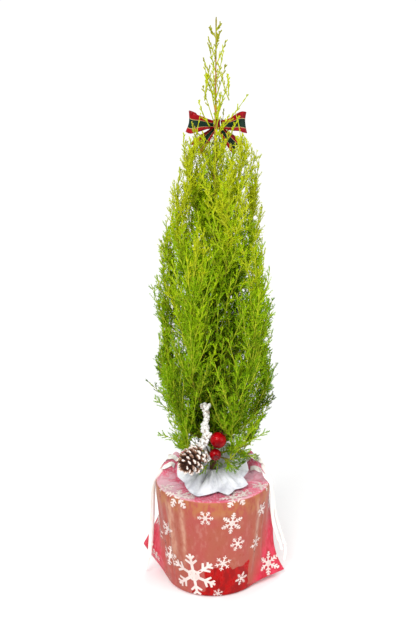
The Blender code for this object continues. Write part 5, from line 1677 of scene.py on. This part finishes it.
def build_finishes():
    """Every finish of the object by a plain name."""
    woody = grain(160.0, 900.0, 0.70, 0.90, 0.5)
    young = grain(120.0, 900.0, 0.45, 0.65, 0.2)
    fine = grain(60.0, 1600.0, 0.36, 0.50, 0.15)
    gloss = grain(70.0, 700.0, 0.16, 0.26, 0.03)
    crusty = grain(420.0, 1500.0, 0.75, 0.95, 0.7, 0.0004)
    earth = grain(300.0, 1200.0, 0.85, 1.0, 0.9, 0.0008)
    dull, dry = {"Specular IOR Level": 0.15}, {"Specular IOR Level": 0.2}
    lacquer = {"Specular IOR Level": 0.05, "Coat Weight": 0.16, "Coat Roughness": 0.03}
    sheen = {"Sheen Weight": 0.3, "Sheen Roughness": 0.35}
    cone = colour(80, 48, 34), colour(42, 24, 16), colour(146, 106, 82), colour(238, 226, 218)
    frost = colour(132, 108, 92), colour(96, 74, 60), colour(178, 162, 148), colour(230, 228, 224)
    return {
        "bark": bark_finish(woody),
        "stem_bark": mottled("Young stem bark", colour(160, 132, 44), colour(128, 136, 34), young),
        "twig_green": mottled("Green twigs", colour(190, 196, 50), colour(160, 176, 30), young, dull),
        "leader_olive": mottled("Olive leader", colour(158, 148, 62), colour(132, 124, 44), young, dull),
        "clay": mottled("Terracotta plastic", colour(196, 104, 60), colour(180, 90, 50), fine),
        "earth": mottled("Potting soil", colour(58, 42, 32), colour(34, 24, 18), earth),
        "grit": mottled("White grit", colour(214, 210, 200), colour(182, 176, 164), crusty),
        "film": film_finish(),
        "print": mottled("White print", colour(232, 217, 211), colour(217, 199, 193), fine, dry),
        "cloth": cloth_finish(),
        "tartan": ribbon_finish(),
        "wood": frosted_finish("Cone scales", *cone, woody, dry),
        "snow": frosted_finish("Artificial frost", *frost, crusty, dry),
        "red": mottled("Red lacquer", colour(174, 0, 10), colour(104, 0, 6), gloss, lacquer),
        "calyx": mottled("Dark red star", colour(120, 10, 18), colour(80, 6, 12), young),
        "stick": mottled("Stick bark", colour(104, 62, 42), colour(70, 40, 28), woody),
        "satin": mottled("White satin", colour(252, 252, 250), colour(242, 237, 228), fine, sheen),
    }


# Floor, light and camera.

FLOOR_REACH = 0.8
FLOOR_FADE = (0.16, 0.75)
# The sky's strength as light on the plant, and as the camera sees it.
SKY_LIGHT, SKY_SEEN = 0.72, 1.05
# The lamps: name, place, width and power; all point at one place on the plant.
LIGHTS = (
    ("Key", (-0.7, -1.7, 1.7), 1.0, 41.0),
    ("Fill", (1.7, -1.3, 1.0), 1.4, 18.0),
    ("Rim", (0.6, 1.8, 1.8), 1.4, 16.0),
)
LIT_POINT = (0.0, 0.0, 0.35)
CAMERA_PLACE = (-0.0064, -1.1, 0.608)
CAMERA_TILT = 77.8
CAMERA_LENS = 50.08


def build_floor():
    """A pale floor that fades out into the sky."""
    settings = {"Base Color": (0.93, 0.93, 0.93, 1.0), "Roughness": 0.9, "Specular IOR Level": 0.0}
    floor, tree, shader = plain_shader("Pale floor", settings)
    away = add_node(tree, "ShaderNodeVectorMath", {"operation": "LENGTH"}, {0: own_place(tree)})
    tree.links.new(ramp(tree, away.outputs["Value"], *FLOOR_FADE, 1.0, 0.0), shader.inputs["Alpha"])
    mesh = bpy.data.meshes.new("floor")
    corners = [(-FLOOR_REACH, -FLOOR_REACH, 0), (FLOOR_REACH, -FLOOR_REACH, 0)]
    corners += [(FLOOR_REACH, FLOOR_REACH, 0), (-FLOOR_REACH, FLOOR_REACH, 0)]
    mesh.from_pydata(corners, [], [(0, 1, 2, 3)])
    mesh.materials.append(floor)
    ground = new_object("floor", mesh)


def build_sky():
    """A white sky, brighter to the camera than its light on the plant."""
    world = bpy.data.worlds.new("Soft white studio")
    bpy.context.scene.world = world
    world.use_nodes = True
    tree = world.node_tree
    white = (1.0, 1.0, 1.0, 1.0)
    lit = tree.nodes["Background"]
    set_inputs(tree, lit, {"Color": white, "Strength": SKY_LIGHT})
    bright = add_node(tree, "ShaderNodeBackground", values={"Color": white, "Strength": SKY_SEEN})
    seen = add_node(tree, "ShaderNodeLightPath").outputs["Is Camera Ray"]
    mixed = add_node(tree, "ShaderNodeMixShader", values={0: seen, 1: lit.outputs[0], 2: bright.outputs[0]})
    tree.links.new(mixed.outputs[0], tree.nodes["World Output"].inputs["Surface"])


def build_lamps():
    """The square lamps round the plant, each turned to face the same point of it."""
    for name, place, size, power in LIGHTS:
        data = bpy.data.lights.new(name, "AREA")
        data.size = size
        data.energy = power
        lamp = new_object(name, data)
        lamp.location = place
        aim = np.array(LIT_POINT) - np.array(place)
        lamp.rotation_euler = (
            math.atan2(math.hypot(aim[0], aim[1]), -aim[2]),
            0.0,
            math.atan2(aim[1], aim[0]) - math.pi / 2,
        )


def build_camera():
    """A long-lens camera in front of the plant, looking down on it by about twelve degrees."""
    data = bpy.data.cameras.new("Camera")
    data.sensor_width = 36.0
    data.lens = CAMERA_LENS
    camera = new_object("Camera", data)
    camera.location = CAMERA_PLACE
    camera.rotation_euler = (math.radians(CAMERA_TILT), 0.0, 0.0)
    bpy.context.scene.camera = camera
    bpy.context.scene.view_settings.view_transform = "Standard"


def main():
    """Builds everything."""
    build_camera()
    build_floor()
    build_sky()
    build_lamps()
    finishes = build_finishes()
    build_pot(finishes["clay"])
    build_soil(finishes["earth"], finishes["grit"])
    build_bag(finishes["film"])
    build_flakes(finishes["print"])
    build_ruff(finishes["cloth"])
    build_trunk(finishes["bark"])
    build_foliage(finishes["stem_bark"], finishes["twig_green"], finishes["leader_olive"])
    build_bow(finishes["tartan"])
    build_cone(finishes["wood"])
    build_spike(finishes["snow"])
    build_berries(finishes["red"], finishes["calyx"])
    build_stick(finishes["stick"])
    build_drawstrings(finishes["satin"])


main()
